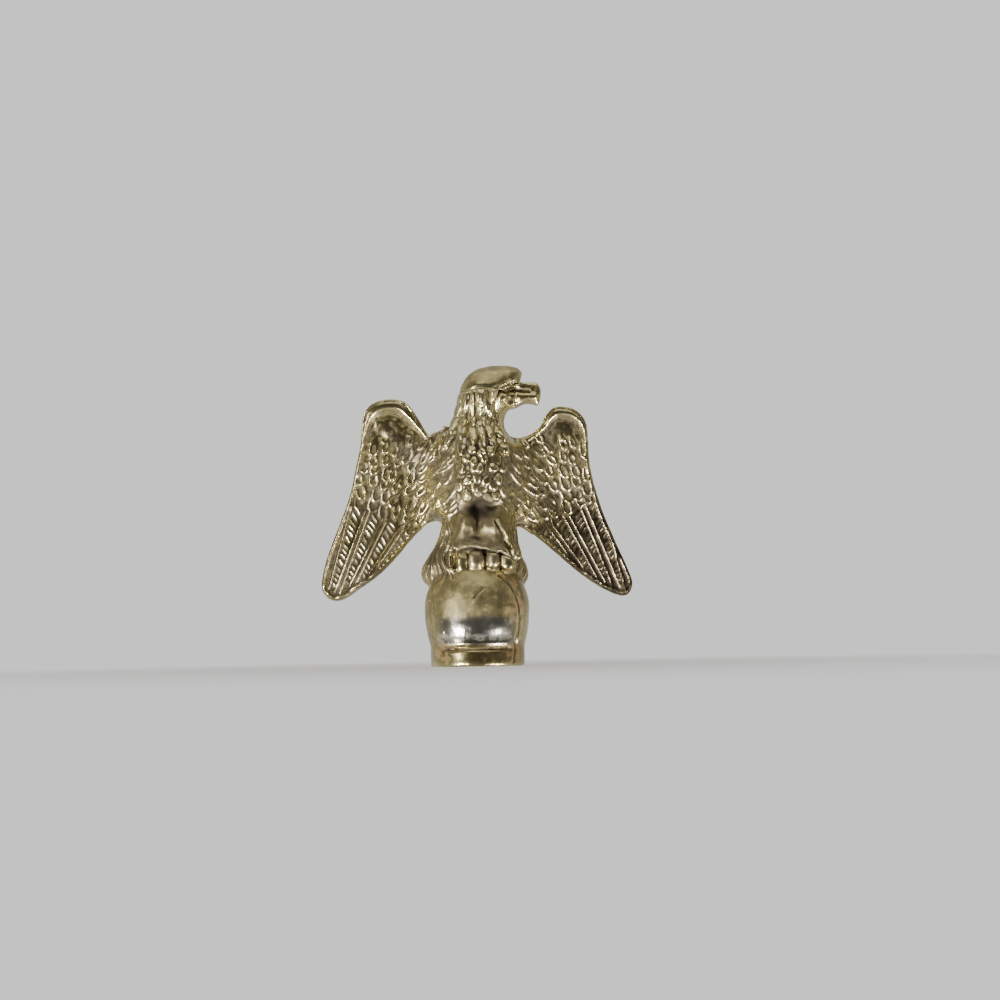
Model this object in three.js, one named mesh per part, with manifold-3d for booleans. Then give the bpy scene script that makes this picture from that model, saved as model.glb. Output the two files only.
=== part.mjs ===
import * as THREE from "three";
import { mergeVertices } from "three/addons/utils/BufferGeometryUtils.js";
import Module from "manifold-3d";

const wasm = await Module();
wasm.setup();

// Eagle finial, one casting. Millimetres, Z up, front towards -Y.
// The origin is the middle of the collar's flat underside.

// ball and collar
const collarDiameter = 17.6;
const collarHeight = 4.0;
const ballDiameter = 19.7;
const ballRise = 6.9;
const ballShoulder = 0.75;
const edgeChamfer = 0.25;

// threaded socket in the underside, drawn as a plain bore
const socketDiameter = 6.35;
const socketDepth = 10.0;
const socketChamfer = 0.5;

// crease between ball and collar, on the front only
const creaseHeight = 0.9;
const creaseDepth = 0.35;
const creaseHalfAngle = 49;

// curved cut down the right front of the ball
const ballCutWidth = 0.5;
const ballCutDepth = 0.4;

// eagle: the rest of its proportions are shares of its own height
const eagleHeight = 41.6;
const perchShare = 0.44;
const wingReach = 29.9;
const wingThickness = 2.4;
const wingLean = 0.17;
const wingSweepShare = 0.858;
const wingEdgeInset = 0.5;

// wing relief
const rimWide = 2.1;
const rimNarrow = 0.75;
const panelSink = 0.5;
const covertLength = 3.3;
const covertWidth = 1.8;
const covertLift = 0.46;
const covertStep = 2.9;
const covertPitch = 2.25;
const quillWidth = 2.2;
const quillLift = 0.42;
const backQuillLift = 0.3;

// body relief
const scaleLength = 2.1;
const scaleWidth = 1.7;
const scaleLift = 0.42;
const plumeRadius = 0.42;
const streakRadius = 0.34;
const capStep = 0.3;
const beakThickness = 3.4;
const beakEdgeInset = 0.7;
const mouthDepth = 0.5;
const mouthWidth = 0.3;

// faceting
const turnFacets = 46;
const wingOutlineSteps = 44;
const bodyFacets = 24;
const flatTolerance = 0.05;

const ballRadius = ballDiameter / 2;
const collarRadius = collarDiameter / 2;
const ballCentre = collarHeight + ballRise;
const perchHeight = ballCentre + perchShare * ballRadius;

const figure = (percent) => (percent / 100) * eagleHeight;
const figureZ = (percent) => perchHeight + figure(percent);
const radians = (degrees) => (degrees * Math.PI) / 180;
const blend = (from, to, share) => from + (to - from) * share;

// Outline of each wing from the neck over the top, down the leading edge, round the tip and back
// up the trailing edge: share of the reach, share of the eagle's height.
const leftWingOutline = [
  [0.12, 0.69], [0.245, 0.705], [0.289, 0.692], [0.332, 0.739], [0.381, 0.798], [0.442, 0.845],
  [0.532, 0.858], [0.626, 0.846], [0.694, 0.805], [0.719, 0.736], [0.731, 0.644], [0.759, 0.562],
  [0.793, 0.452],
  [0.854, 0.329], [0.939, 0.183], [0.993, 0.058], [0.994, -0.014], [0.935, -0.053], [0.861, -0.05],
  [0.759, -0.004], [0.626, 0.062], [0.517, 0.137], [0.415, 0.222], [0.316, 0.288], [0.245, 0.303],
  [0.205, 0.28], [0.12, 0.25],
];
const rightWingOutline = [
  [0.12, 0.67], [0.213, 0.683], [0.273, 0.673], [0.353, 0.686], [0.419, 0.719], [0.453, 0.767],
  [0.506, 0.805], [0.569, 0.811], [0.652, 0.793], [0.712, 0.743], [0.727, 0.668], [0.732, 0.577],
  [0.755, 0.476],
  [0.812, 0.337], [0.893, 0.195], [0.972, 0.067], [1.0, -0.007], [0.962, -0.054], [0.899, -0.05],
  [0.792, -0.014], [0.659, 0.053], [0.516, 0.142], [0.393, 0.218], [0.306, 0.262], [0.26, 0.269],
  [0.225, 0.25], [0.12, 0.24],
];

// Rows of height, left, right, front and back, all in percent of the eagle's height.
const torsoRows = [
  [21.2, -16.3, 18.8, -14.2, 15.9],
  [28.4, -15.1, 18.3, -14.4, 15.4],
  [33.9, -15.9, 19.2, -13.0, 15.1],
  [39.2, -16.3, 20.2, -15.1, 14.9],
  [47.6, -16.3, 20.7, -17.5, 14.7],
  [56.0, -15.9, 20.2, -17.3, 14.7],
  [62.7, -15.9, 18.8, -15.6, 14.4],
  [67.3, -16.6, 16.8, -13.5, 13.7],
  [69.8, -14.0, 14.8, -12.1, 12.6],
  [72.6, -10.6, 13.2, -10.9, 10.6],
];
const shoulderRows = [
  [33.0, -20.0, 22.0, -5.5, 13.0],
  [45.0, -25.0, 27.5, -8.0, 12.2],
  [58.0, -26.0, 28.5, -9.5, 11.5],
  [66.0, -22.5, 23.0, -8.5, 10.0],
];
const skirtRows = [
  [-1.4, -20.7, 20.7, -8.4, 18.3],
  [0.2, -22.4, 22.1, -10.1, 20.2],
  [2.4, -24.3, 23.1, -11.8, 21.4],
  [5.5, -25.2, 23.4, -13.5, 21.4],
  [8.7, -24.3, 22.6, -14.4, 20.7],
  [12.0, -22.1, 20.7, -14.9, 19.5],
  [17.3, -18.8, 19.6, -14.9, 17.8],
  [22.4, -16.3, 18.5, -14.4, 16.3],
  [28.4, -15.1, 18.3, -13.9, 15.1],
];
const headRows = [
  [66.8, -13.5, 15.1, -12.4, 13.0],
  [71.2, -12.3, 14.1, -10.9, 11.8],
  [75.0, -10.1, 13.7, -10.2, 10.3],
  [78.1, -8.7, 14.9, -10.8, 9.1],
  [81.2, -7.7, 17.3, -12.1, 8.2],
  [85.3, -6.6, 18.5, -13.1, 7.7],
  [89.9, -6.0, 20.2, -12.9, 7.2],
  [94.0, -3.7, 22.1, -11.2, 6.2],
  [96.4, -1.7, 22.6, -9.8, 5.0],
  [98.6, 1.7, 20.9, -7.2, 2.9],
  [100.0, 7.9, 16.6, -3.6, -0.2],
];
const capRows = headRows.filter((row) => row[0] > 88);
const beakMiddle = -2.2;
const beakOutline = [
  [16.3, 93.0], [21.5, 91.8], [24.5, 91.6], [27.6, 91.9], [29.8, 90.9], [30.9, 88.4], [30.7, 85.0],
  [29.4, 81.4], [27.8, 81.9], [24.0, 82.5], [20.9, 81.5], [17.5, 80.0], [14.4, 82.7],
];

// Helpers that make closed solids.

function toSolid(geometry) {
  const bare = geometry.clone();
  bare.deleteAttribute("normal");
  bare.deleteAttribute("uv");
  const joined = mergeVertices(bare, 1e-4);
  const index = joined.index.array;
  const corners = [];
  for (let i = 0; i < index.length; i += 3) {
    const [a, b, c] = [index[i], index[i + 1], index[i + 2]];
    if (a !== b && b !== c && a !== c) corners.push(a, b, c);
  }
  return new wasm.Manifold(new wasm.Mesh({
    numProp: 3,
    vertProperties: new Float32Array(joined.attributes.position.array),
    triVerts: new Uint32Array(corners),
  }));
}

// Triangles that add less than the tolerance to the form are merged away.
function fromSolid(solid) {
  const mesh = solid.asOriginal().simplify(flatTolerance).getMesh();
  const geometry = new THREE.BufferGeometry();
  geometry.setAttribute("position", new THREE.BufferAttribute(new Float32Array(mesh.vertProperties), 3));
  geometry.setIndex(new THREE.BufferAttribute(new Uint32Array(mesh.triVerts), 1));
  return geometry;
}

const joinAll = (solids) => solids.reduce((whole, solid) => whole.add(solid));

// Closed skin over equal rings of points. The ends are fans, or follow the triangles given.
function skinRings(rings, endTriangles) {
  const points = rings.flat();
  const count = rings[0].length;
  const last = (rings.length - 1) * count;
  const index = [];
  for (let start = 0; start < last; start += count) {
    for (let i = 0; i < count; i++) {
      const a = start + i;
      const b = start + ((i + 1) % count);
      index.push(a, b, a + count, b, b + count, a + count);
    }
  }
  for (const [ring, start] of [[rings[0], 0], [rings.at(-1), last]]) {
    const triangles = endTriangles ?? fanTriangles(points, ring);
    for (const corners of triangles) {
      const [a, b, c] = corners.map((corner) => (corner < count ? start + corner : points.length - 1));
      index.push(...(start === 0 ? [c, b, a] : [a, b, c]));
    }
  }
  const geometry = new THREE.BufferGeometry().setFromPoints(points);
  geometry.setIndex(index);
  return toSolid(geometry);
}

// Adds the middle of a ring to the points and returns the triangles round it.
function fanTriangles(points, ring) {
  const middle = new THREE.Vector3();
  ring.forEach((point) => middle.addScaledVector(point, 1 / ring.length));
  points.push(middle);
  return ring.map((_, i) => [i, (i + 1) % ring.length, Infinity]);
}

// Stack of rounded rings; roundness 2 is an ellipse, more is squarer.
function stackRows(rows, roundness) {
  return skinRings(rows.map((row) => rowRing(row, roundness)));
}

function rowRing([height, left, right, front, back], roundness) {
  const ring = [];
  for (let i = 0; i < bodyFacets; i++) {
    const angle = (i / bodyFacets) * Math.PI * 2;
    const across = Math.sign(Math.cos(angle)) * Math.abs(Math.cos(angle)) ** (2 / roundness);
    const deep = Math.sign(Math.sin(angle)) * Math.abs(Math.sin(angle)) ** (2 / roundness);
    ring.push(new THREE.Vector3(
      figure((left + right) / 2 + (across * (right - left)) / 2),
      figure((front + back) / 2 + (deep * (back - front)) / 2),
      figureZ(height),
    ));
  }
  return ring;
}

// Rod through stations of centre, half width and half depth.
function sweepRod(stations, sideAxis, facets) {
  const rings = stations.map(({ at, wide, deep }, i) => {
    const before = stations[Math.max(i - 1, 0)].at;
    const after = stations[Math.min(i + 1, stations.length - 1)].at;
    const along = after.clone().sub(before).normalize();
    const up = along.clone().cross(sideAxis).normalize();
    const side = up.clone().cross(along).normalize();
    const ring = [];
    for (let k = 0; k < facets; k++) {
      const angle = (k / facets) * Math.PI * 2;
      ring.push(at.clone()
        .addScaledVector(side, Math.cos(angle) * wide)
        .addScaledVector(up, Math.sin(angle) * deep));
    }
    return ring;
  });
  return skinRings(rings);
}

// Small pointed bead lying along a direction, half sunk into the surface under it.
function bead(at, along, outward, halfLength, halfWidth, lift) {
  const y = along.clone().normalize();
  const x = y.clone().cross(outward).normalize();
  const z = x.clone().cross(y).normalize();
  const geometry = new THREE.SphereGeometry(1, 6, 3);
  geometry.scale(halfWidth, halfLength, lift);
  geometry.applyMatrix4(new THREE.Matrix4().makeBasis(x, y, z).setPosition(at));
  return toSolid(geometry);
}

// Ball, collar and socket.

function ballProfileRadius(z) {
  if (z <= collarHeight) return collarRadius;
  if (z < ballCentre) {
    const share = (z - collarHeight) / ballRise;
    return blend(collarRadius, ballRadius, Math.sin((share * Math.PI) / 2) ** ballShoulder);
  }
  return Math.sqrt(Math.max(ballRadius ** 2 - (z - ballCentre) ** 2, 0));
}

function ballAndCollar() {
  const profile = [new THREE.Vector2(0, 0), new THREE.Vector2(collarRadius - edgeChamfer, 0)];
  profile.push(new THREE.Vector2(collarRadius, edgeChamfer));
  const lowerSteps = 4;
  for (let i = 0; i < lowerSteps; i++) {
    const z = collarHeight + (ballRise * i) / lowerSteps;
    profile.push(new THREE.Vector2(ballProfileRadius(z), z));
  }
  const upperSteps = 4;
  for (let i = 0; i < upperSteps; i++) {
    const angle = ((Math.PI / 2) * i) / upperSteps;
    const z = ballCentre + ballRadius * Math.sin(angle);
    profile.push(new THREE.Vector2(ballRadius * Math.cos(angle), z));
  }
  profile.push(new THREE.Vector2(0, ballCentre + ballRadius));
  return turned(profile);
}

function turned(profile) {
  return toSolid(new THREE.LatheGeometry(profile, turnFacets).rotateX(Math.PI / 2));
}

function socket() {
  const radius = socketDiameter / 2;
  const below = -1;
  return turned([
    new THREE.Vector2(0, below),
    new THREE.Vector2(radius + socketChamfer - below, below),
    new THREE.Vector2(radius, socketChamfer),
    new THREE.Vector2(radius, socketDepth - socketChamfer),
    new THREE.Vector2(0, socketDepth + radius / 2),
  ]);
}

function frontCrease() {
  const stations = [];
  const steps = 14;
  const height = collarHeight - creaseHeight / 2;
  for (let i = 0; i <= steps; i++) {
    const share = (2 * i) / steps - 1;
    const angle = radians(creaseHalfAngle * share);
    const fade = Math.max(1 - share ** 4, 0.1);
    stations.push({
      at: new THREE.Vector3(Math.sin(angle) * collarRadius, -Math.cos(angle) * collarRadius, height),
      wide: (creaseHeight / 2) * fade,
      deep: creaseDepth * fade,
    });
  }
  return sweepRod(stations, new THREE.Vector3(0, 0, 1), 6);
}

// The cut runs from under the toes, bows outwards over the ball and ends in the collar.
function ballCut() {
  const stations = [];
  const steps = 12;
  for (let i = 0; i <= steps; i++) {
    const share = i / steps;
    const z = blend(perchHeight, edgeChamfer, share);
    const bow = Math.sin(Math.PI * Math.min(share * 1.3, 1)) ** 0.8;
    const radius = ballProfileRadius(z);
    const x = ballRadius * (0.62 + 0.17 * bow);
    stations.push({
      at: new THREE.Vector3(x, -Math.sqrt(Math.max(radius ** 2 - x ** 2, 0)), z),
      wide: ballCutWidth / 2,
      deep: ballCutDepth,
    });
  }
  return sweepRod(stations, new THREE.Vector3(1, 0, 0), 5);
}

// Wings.

// A wing is drawn flat, front face at -thickness/2, and leaned back at the end.
function wingPoint(side, [reachShare, heightShare]) {
  return new THREE.Vector2(side * reachShare * wingReach, perchHeight + heightShare * eagleHeight);
}

function wingLoop(side, outline) {
  const points = outline.map((pair) => wingPoint(side, pair));
  const loop = new THREE.SplineCurve([...points, points[0]]).getPoints(wingOutlineSteps).slice(0, -1);
  return THREE.ShapeUtils.area(loop) < 0 ? loop.reverse() : loop;
}

// Loop moved inwards by a margin that is wide on the rolled wing top and narrow below it.
function insetLoop(loop, topMargin, tipMargin) {
  const heights = loop.map((point) => point.y);
  const top = Math.max(...heights);
  const bottom = Math.min(...heights);
  return loop.map((point, i) => {
    const before = loop[(i + loop.length - 1) % loop.length];
    const after = loop[(i + 1) % loop.length];
    const along = after.clone().sub(before).normalize();
    const margin = blend(tipMargin, topMargin, ((point.y - bottom) / (top - bottom)) ** 3);
    return new THREE.Vector2(point.x - along.y * margin, point.y + along.x * margin);
  });
}

function insideLoop(loop, x, z) {
  let inside = false;
  for (let i = 0, j = loop.length - 1; i < loop.length; j = i++) {
    const a = loop[i];
    const b = loop[j];
    const crosses = (a.y > z) !== (b.y > z);
    if (crosses && x < ((b.x - a.x) * (z - a.y)) / (b.y - a.y) + a.x) inside = !inside;
  }
  return inside;
}

// Plate in the XZ plane built of layers, back layer first: depth, inset at the top and at the tip.
function plate(loop, layers) {
  const rings = layers.map(([y, topInset, tipInset = topInset]) => (
    insetLoop(loop, topInset, tipInset).map((point) => new THREE.Vector3(point.x, y, point.y))
  ));
  return skinRings(rings, THREE.ShapeUtils.triangulateShape(loop, []));
}

// Layers of a plate with edges rounded to a share of its thickness.
function roundedLayers(thickness, inset) {
  const half = thickness / 2;
  return [[half, inset], [half * 0.55, 0], [-half * 0.25, 0], [-half * 0.8, inset * 0.4], [-half, inset]];
}

// Lines that part the short coverts from the long quills: start and end of the outermost and innermost.
const quillStarts = [[0.79, 0.385], [0.4, 0.25]];
const quillEnds = [[0.955, 0.0], [0.66, 0.065]];
const quillShares = [0.05, 0.35, 0.65, 0.94];

function wingQuills(side, y, lift) {
  return quillShares.map((share) => {
    const from = wingPoint(side, [0, 1].map((k) => blend(quillStarts[0][k], quillStarts[1][k], share)));
    const to = wingPoint(side, [0, 1].map((k) => blend(quillEnds[0][k], quillEnds[1][k], share)));
    const widths = [0.4, 1, 0.95, 0.35];
    const stations = widths.map((width, i) => {
      const along = i / (widths.length - 1);
      return {
        at: new THREE.Vector3(blend(from.x, to.x, along), y, blend(from.y, to.y, along)),
        wide: (quillWidth / 2) * width,
        deep: lift * (0.5 + 0.5 * width),
      };
    });
    return sweepRod(stations, new THREE.Vector3(1, 0, 0), 5);
  });
}

// Short feathers in staggered rows over the upper part of the panel.
function wingCoverts(side, loop, y) {
  const solids = [];
  const along = new THREE.Vector3(side * 0.45, 0, -0.89);
  const across = new THREE.Vector3(0.89, 0, side * 0.45);
  const outward = new THREE.Vector3(0, -1, 0);
  const start = wingPoint(side, [0.62, 0.69]);
  const outer = wingPoint(side, quillStarts[0]);
  const inner = wingPoint(side, quillStarts[1]);
  for (let row = -1; row < 9; row++) {
    for (let column = -9; column < 5; column++) {
      const offset = (column + (row % 2) / 2) * covertPitch;
      const at = new THREE.Vector3(start.x, y, start.y)
        .addScaledVector(along, row * covertStep)
        .addScaledVector(across, side * offset);
      const share = (at.x - inner.x) / (outer.x - inner.x);
      const aboveQuills = at.z > blend(inner.y, outer.y, share) + covertLength / 3;
      if (insideLoop(loop, at.x, at.z) && aboveQuills) {
        solids.push(bead(at, along, outward, covertLength / 2, covertWidth / 2, covertLift));
      }
    }
  }
  return solids;
}

function leanBack(solid) {
  const pivot = perchHeight + wingSweepShare * eagleHeight;
  return solid.warp((vertex) => {
    vertex[1] += (pivot - vertex[2]) * wingLean;
  });
}

function wing(side, outline) {
  const loop = wingLoop(side, outline);
  const front = -wingThickness / 2;
  const floor = front + panelSink;
  const covertArea = insetLoop(loop, rimWide + covertWidth / 2, rimNarrow + covertWidth / 2);
  const sunken = plate(loop, roundedLayers(wingThickness, wingEdgeInset))
    .subtract(plate(loop, [[floor, rimWide, rimNarrow], [front - 1, rimWide, rimNarrow]]));
  const relief = [
    ...wingCoverts(side, covertArea, floor),
    ...wingQuills(side, floor, quillLift),
    ...wingQuills(side, -front, backQuillLift),
  ];
  return leanBack(sunken.add(joinAll(relief)));
}

// Body, head and feet.

// Row of the torso or skirt at any height, between the given ones.
function rowAt(rows, height) {
  let upper = rows.findIndex((row) => row[0] >= height);
  if (upper < 1) upper = upper < 0 ? rows.length - 1 : 1;
  const [a, b] = [rows[upper - 1], rows[upper]];
  const share = (height - a[0]) / (b[0] - a[0]);
  return a.map((value, i) => blend(value, b[i], share));
}

// Point on the front or back of a stack of rows; across runs from -1 to 1.
function surfacePoint(rows, height, across, roundness, backward) {
  const [, left, right, front, back] = rowAt(rows, height);
  const deep = (1 - Math.abs(across) ** roundness) ** (1 / roundness) * (backward ? 1 : -1);
  return new THREE.Vector3(
    figure((left + right) / 2 + (across * (right - left)) / 2),
    figure((front + back) / 2 + (deep * (back - front)) / 2),
    figureZ(height),
  );
}

// Overlapping scales on the breast, rows from the belly up to the throat.
function breastScales() {
  const solids = [];
  const rows = 6;
  for (let row = 0; row < rows; row++) {
    const height = 38.5 + row * 4.5;
    const count = 4 + (row % 2);
    for (let i = 0; i < count; i++) {
      const across = (i - (count - 1) / 2) * 0.235;
      const at = surfacePoint(torsoRows, height, across, 2.2, false);
      const outward = new THREE.Vector3(across, -1, 0);
      const along = new THREE.Vector3(across * 0.3, 0, -1);
      solids.push(bead(at, along, outward, scaleLength / 2, scaleWidth / 2, scaleLift));
    }
  }
  return solids;
}

// Longer feathers down both flanks, between breast and wing.
function flankFeathers() {
  const solids = [];
  for (const side of [-1, 1]) {
    for (let row = 0; row < 5; row++) {
      for (let column = 0; column < 2; column++) {
        const height = 36 + row * 6.4 + column * 3;
        const across = side * 0.72;
        const at = surfacePoint(column === 0 ? torsoRows : shoulderRows, height, across, 2.1, false);
        const outward = new THREE.Vector3(across, column === 0 ? -0.75 : -1.2, 0);
        const along = new THREE.Vector3(side * 0.35, 0, -1);
        solids.push(bead(at, along, outward, covertLength / 2, covertWidth / 2, covertLift));
      }
    }
  }
  return solids;
}

// Thin rods of plumage that run down the skirt all round and part it into feathers.
function skirtPlumes() {
  const solids = [];
  const rodCount = 16;
  const heights = [3, 7, 12, 18, 25];
  for (let i = 0; i < rodCount; i++) {
    const angle = ((i + 0.5) / rodCount) * Math.PI * 2;
    const across = Math.sin(angle);
    const backward = Math.cos(angle) > 0;
    const hiddenByToes = !backward && Math.abs(across) < 0.6;
    if (hiddenByToes) continue;
    const stations = heights.map((height, k) => ({
      at: surfacePoint(skirtRows, height, across, 2.1, backward),
      wide: plumeRadius * (k === 0 ? 1.1 : 0.9),
      deep: plumeRadius * (k === 0 ? 0.6 : 0.9),
    }));
    solids.push(sweepRod(stations, new THREE.Vector3(Math.cos(angle), Math.sin(angle), 0), 4));
  }
  return solids;
}

// Thighs: side to side place, top and foot heights, fullness. Depths are percent of the eagle's height.
const thighMiddle = -10.6;
const thighs = [
  { across: -5.2, high: 36.5, low: 15.5, fullness: 1.0 },
  { across: 7.6, high: 33.0, low: 15.0, fullness: 1.1 },
];

function thigh({ across, high, low, fullness }) {
  const shares = [0, 0.15, 0.45, 0.75, 1];
  const widths = [2.6, 4.6, 5.8, 5.4, 4.4];
  const depths = [2.8, 5.2, 6.4, 6.2, 5.0];
  const stations = shares.map((share, i) => ({
    at: new THREE.Vector3(
      figure(across + share * 1.6),
      figure(thighMiddle + Math.abs(share - 0.45) * 2),
      figureZ(blend(high, low, share)),
    ),
    wide: figure(widths[i] * fullness),
    deep: figure(depths[i]),
  }));
  return sweepRod(stations, new THREE.Vector3(1, 0, 0), 10);
}

// Ledge of short feathers that hangs over the toes in a low arch. All in percent of the eagle's height.
const hemArch = [
  [-11.5, 13.4], [-9.0, 14.4], [-5.0, 15.3], [0.5, 14.6], [6.5, 15.4], [11.5, 14.8], [16.5, 13.2],
];
const hemFront = -16.4;
const hemBow = 0.012;
const hemHalfDepth = 3.0;
const hemHalfHeight = 1.7;

function hem() {
  const stations = hemArch.map(([across, height]) => ({
    at: new THREE.Vector3(figure(across), figure(hemFront + hemBow * (across - 3) ** 2), figureZ(height)),
    wide: figure(hemHalfDepth),
    deep: figure(hemHalfHeight),
  }));
  return sweepRod(stations, new THREE.Vector3(0, 1, 0), 6);
}

// Toes, blunt blocks side by side: side to side place and half width, percent of the eagle's height.
const toes = [
  { across: -6.3, half: 2.6 },
  { across: 0.1, half: 3.5 },
  { across: 7.8, half: 3.0 },
  { across: 14.4, half: 3.1 },
];
const toeTop = 13.9;
const toeFoot = 6.3;
const toeFront = -19.6;
const toeDepth = 11.0;
const toeDroop = 0.014;

function toe({ across, half }) {
  const droop = toeDroop * (across - 4) ** 2;
  const front = toeFront + droop * 1.3;
  const foot = toeFoot - droop;
  const levels = [[foot, 0.72], [foot + 1.2, 1], [toeTop - droop - 1.6, 1], [toeTop, 0.75]];
  const rows = levels.map(([height, grow]) => (
    [height, across - half * grow, across + half * grow, front + (1 - grow) * 4, front + toeDepth]
  ));
  return stackRows(rows, 4);
}

function hindClaw() {
  const at = surfacePoint(skirtRows, 6.2, -0.45, 2.1, false);
  const along = new THREE.Vector3(-1, 0.3, 0.2);
  return bead(at, along, new THREE.Vector3(0, -1, 0), figure(2.2), figure(1.3), figure(1.6));
}

// Crown that stands a little proud of the cheeks all round.
function crown() {
  const rows = capRows.map(([height, left, right, front, back], i) => {
    const step = i < capRows.length - 2 ? (capStep / eagleHeight) * 100 : 0;
    return [height, left, right, front - step, back + step];
  });
  return stackRows(rows, 2);
}

function beak() {
  const loop = beakOutline.map(([across, height]) => new THREE.Vector2(figure(across), figureZ(height)));
  const smooth = new THREE.SplineCurve([...loop, loop[0]]).getPoints(30).slice(0, -1);
  const turn = THREE.ShapeUtils.area(smooth) < 0 ? smooth.reverse() : smooth;
  const middle = figure(beakMiddle);
  const root = figure(beakOutline[0][0]);
  const tip = Math.max(...loop.map((point) => point.x));
  return plate(turn, roundedLayers(beakThickness, beakEdgeInset)).warp((vertex) => {
    const share = Math.min(Math.max((vertex[0] - root) / (tip - root), 0), 1);
    vertex[1] = vertex[1] * blend(1.45, 0.8, share) + middle;
  });
}

function mouthCut() {
  const solids = [];
  const line = [[18.0, 85.6], [21.5, 86.8], [25.0, 86.9], [28.0, 86.3]];
  for (const face of [-1, 1]) {
    const stations = line.map(([across, height], i) => ({
      at: new THREE.Vector3(
        figure(across),
        figure(beakMiddle) + (face * beakThickness / 2) * blend(1.35, 0.85, i / (line.length - 1)),
        figureZ(height),
      ),
      wide: mouthWidth,
      deep: mouthDepth,
    }));
    solids.push(sweepRod(stations, new THREE.Vector3(0, 0, 1), 4));
  }
  return joinAll(solids);
}

function browAndEye() {
  const solids = [];
  for (const face of [-1, 1]) {
    const depth = (share) => figure(beakMiddle) + face * figure(share);
    const brow = [[9.5, 88.4, 9.2], [14.0, 90.6, 9.4], [18.5, 92.4, 8.4], [22.0, 93.8, 6.2]];
    solids.push(sweepRod(brow.map(([across, height, out], i) => ({
      at: new THREE.Vector3(figure(across), depth(out), figureZ(height)),
      wide: figure(i === 0 ? 0.6 : 1.2),
      deep: figure(i === 0 ? 0.6 : 1.3),
    })), new THREE.Vector3(0, 0, 1), 6));
    const eyeAt = new THREE.Vector3(figure(16.2), depth(7.4), figureZ(89.2));
    const along = new THREE.Vector3(1, 0, 0.25);
    solids.push(bead(eyeAt, along, new THREE.Vector3(0, face, 0), figure(2.6), figure(1.0), figure(1.6)));
  }
  return solids;
}

// Strands of neck feathers that start under the crown and fan out on the breast and nape.
function neckStrands() {
  const solids = [];
  const strandCount = 5;
  for (const backward of [false, true]) {
    for (let i = 0; i < strandCount; i++) {
      const across = ((i + 0.5) / strandCount) * 1.7 - 0.85;
      const heights = [87 - Math.abs(across) * 3, 81, 75, 69, 64.5 - (i % 2) * 2];
      const stations = heights.map((height, k) => {
        const rows = k < 4 ? headRows : torsoRows;
        const spread = k < 4 ? across : across * 0.62;
        return {
          at: surfacePoint(rows, height, spread, 2, backward),
          wide: streakRadius * (k === 4 ? 0.5 : 1),
          deep: streakRadius * (k === 4 ? 0.6 : 1),
        };
      });
      solids.push(sweepRod(stations, new THREE.Vector3(1, 0, 0), 4));
    }
  }
  return solids;
}

// The whole casting.

function eagleFinial() {
  const base = ballAndCollar().subtract(frontCrease()).subtract(ballCut());
  const body = joinAll([
    stackRows(torsoRows, 2.2),
    stackRows(shoulderRows, 2),
    stackRows(skirtRows, 2.1),
    stackRows(headRows, 2),
    crown(),
    beak(),
    ...thighs.map(thigh),
    ...toes.map(toe),
    hem(),
    hindClaw(),
    ...browAndEye(),
    ...breastScales(),
    ...flankFeathers(),
    ...skirtPlumes(),
    ...neckStrands(),
  ]).subtract(mouthCut());
  const wings = wing(-1, leftWingOutline).add(wing(1, rightWingOutline));
  return base.add(body).add(wings).subtract(socket());
}

const wornSilverPlate = new THREE.MeshStandardMaterial({
  color: 0xb5a878,
  metalness: 1.0,
  roughness: 0.38,
});

const finial = new THREE.Mesh(fromSolid(eagleFinial()), wornSilverPlate);
finial.name = "eagle_finial";

const part = new THREE.Group();
part.add(finial);

export default part;
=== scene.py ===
import math

import bpy
import numpy as np
from mathutils import Matrix, Vector, noise


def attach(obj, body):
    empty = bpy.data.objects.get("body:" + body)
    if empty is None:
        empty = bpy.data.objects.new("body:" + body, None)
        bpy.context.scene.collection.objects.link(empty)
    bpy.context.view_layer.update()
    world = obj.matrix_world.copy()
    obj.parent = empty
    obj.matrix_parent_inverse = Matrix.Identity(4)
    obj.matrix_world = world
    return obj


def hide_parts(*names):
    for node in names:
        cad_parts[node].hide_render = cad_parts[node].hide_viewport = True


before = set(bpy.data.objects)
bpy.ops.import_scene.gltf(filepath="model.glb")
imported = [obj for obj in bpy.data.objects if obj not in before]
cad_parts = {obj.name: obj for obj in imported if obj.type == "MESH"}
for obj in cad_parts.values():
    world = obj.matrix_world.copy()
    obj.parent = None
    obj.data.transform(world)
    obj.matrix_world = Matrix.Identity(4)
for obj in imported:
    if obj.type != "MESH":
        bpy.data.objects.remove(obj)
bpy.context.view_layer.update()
print("frame loaded")

mm = 0.001

# small helpers


def pickNothing():
    bpy.ops.object.select_all(action="DESELECT")


def newestObject(name):
    thing = bpy.context.object
    thing.name = name
    thing.data.name = name
    return thing


def pick(*things):
    pickNothing()
    for thing in things:
        thing.select_set(True)
    bpy.context.view_layer.objects.active = things[0]


def editAll():
    bpy.ops.object.mode_set(mode="EDIT")
    bpy.ops.mesh.select_all(action="SELECT")


def endEdit():
    bpy.ops.object.mode_set(mode="OBJECT")


def faceOutwards():
    bpy.ops.mesh.select_all(action="SELECT")
    bpy.ops.mesh.normals_make_consistent(inside=False)
    endEdit()


# leaves nothing of the active mesh selected, in the given kind
def pickNoneOf(kind):
    bpy.ops.object.mode_set(mode="EDIT")
    bpy.ops.mesh.select_mode(type=kind)
    bpy.ops.mesh.select_all(action="DESELECT")
    endEdit()


def applyPlace(thing):
    pick(thing)
    bpy.ops.object.transform_apply(location=True, rotation=True, scale=True)


def shapeWith(thing, kind, **settings):
    modifier = thing.modifiers.new(kind.lower(), kind)
    for key, value in settings.items():
        setattr(modifier, key, value)
    bpy.ops.object.modifier_apply(modifier=modifier.name)


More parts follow.
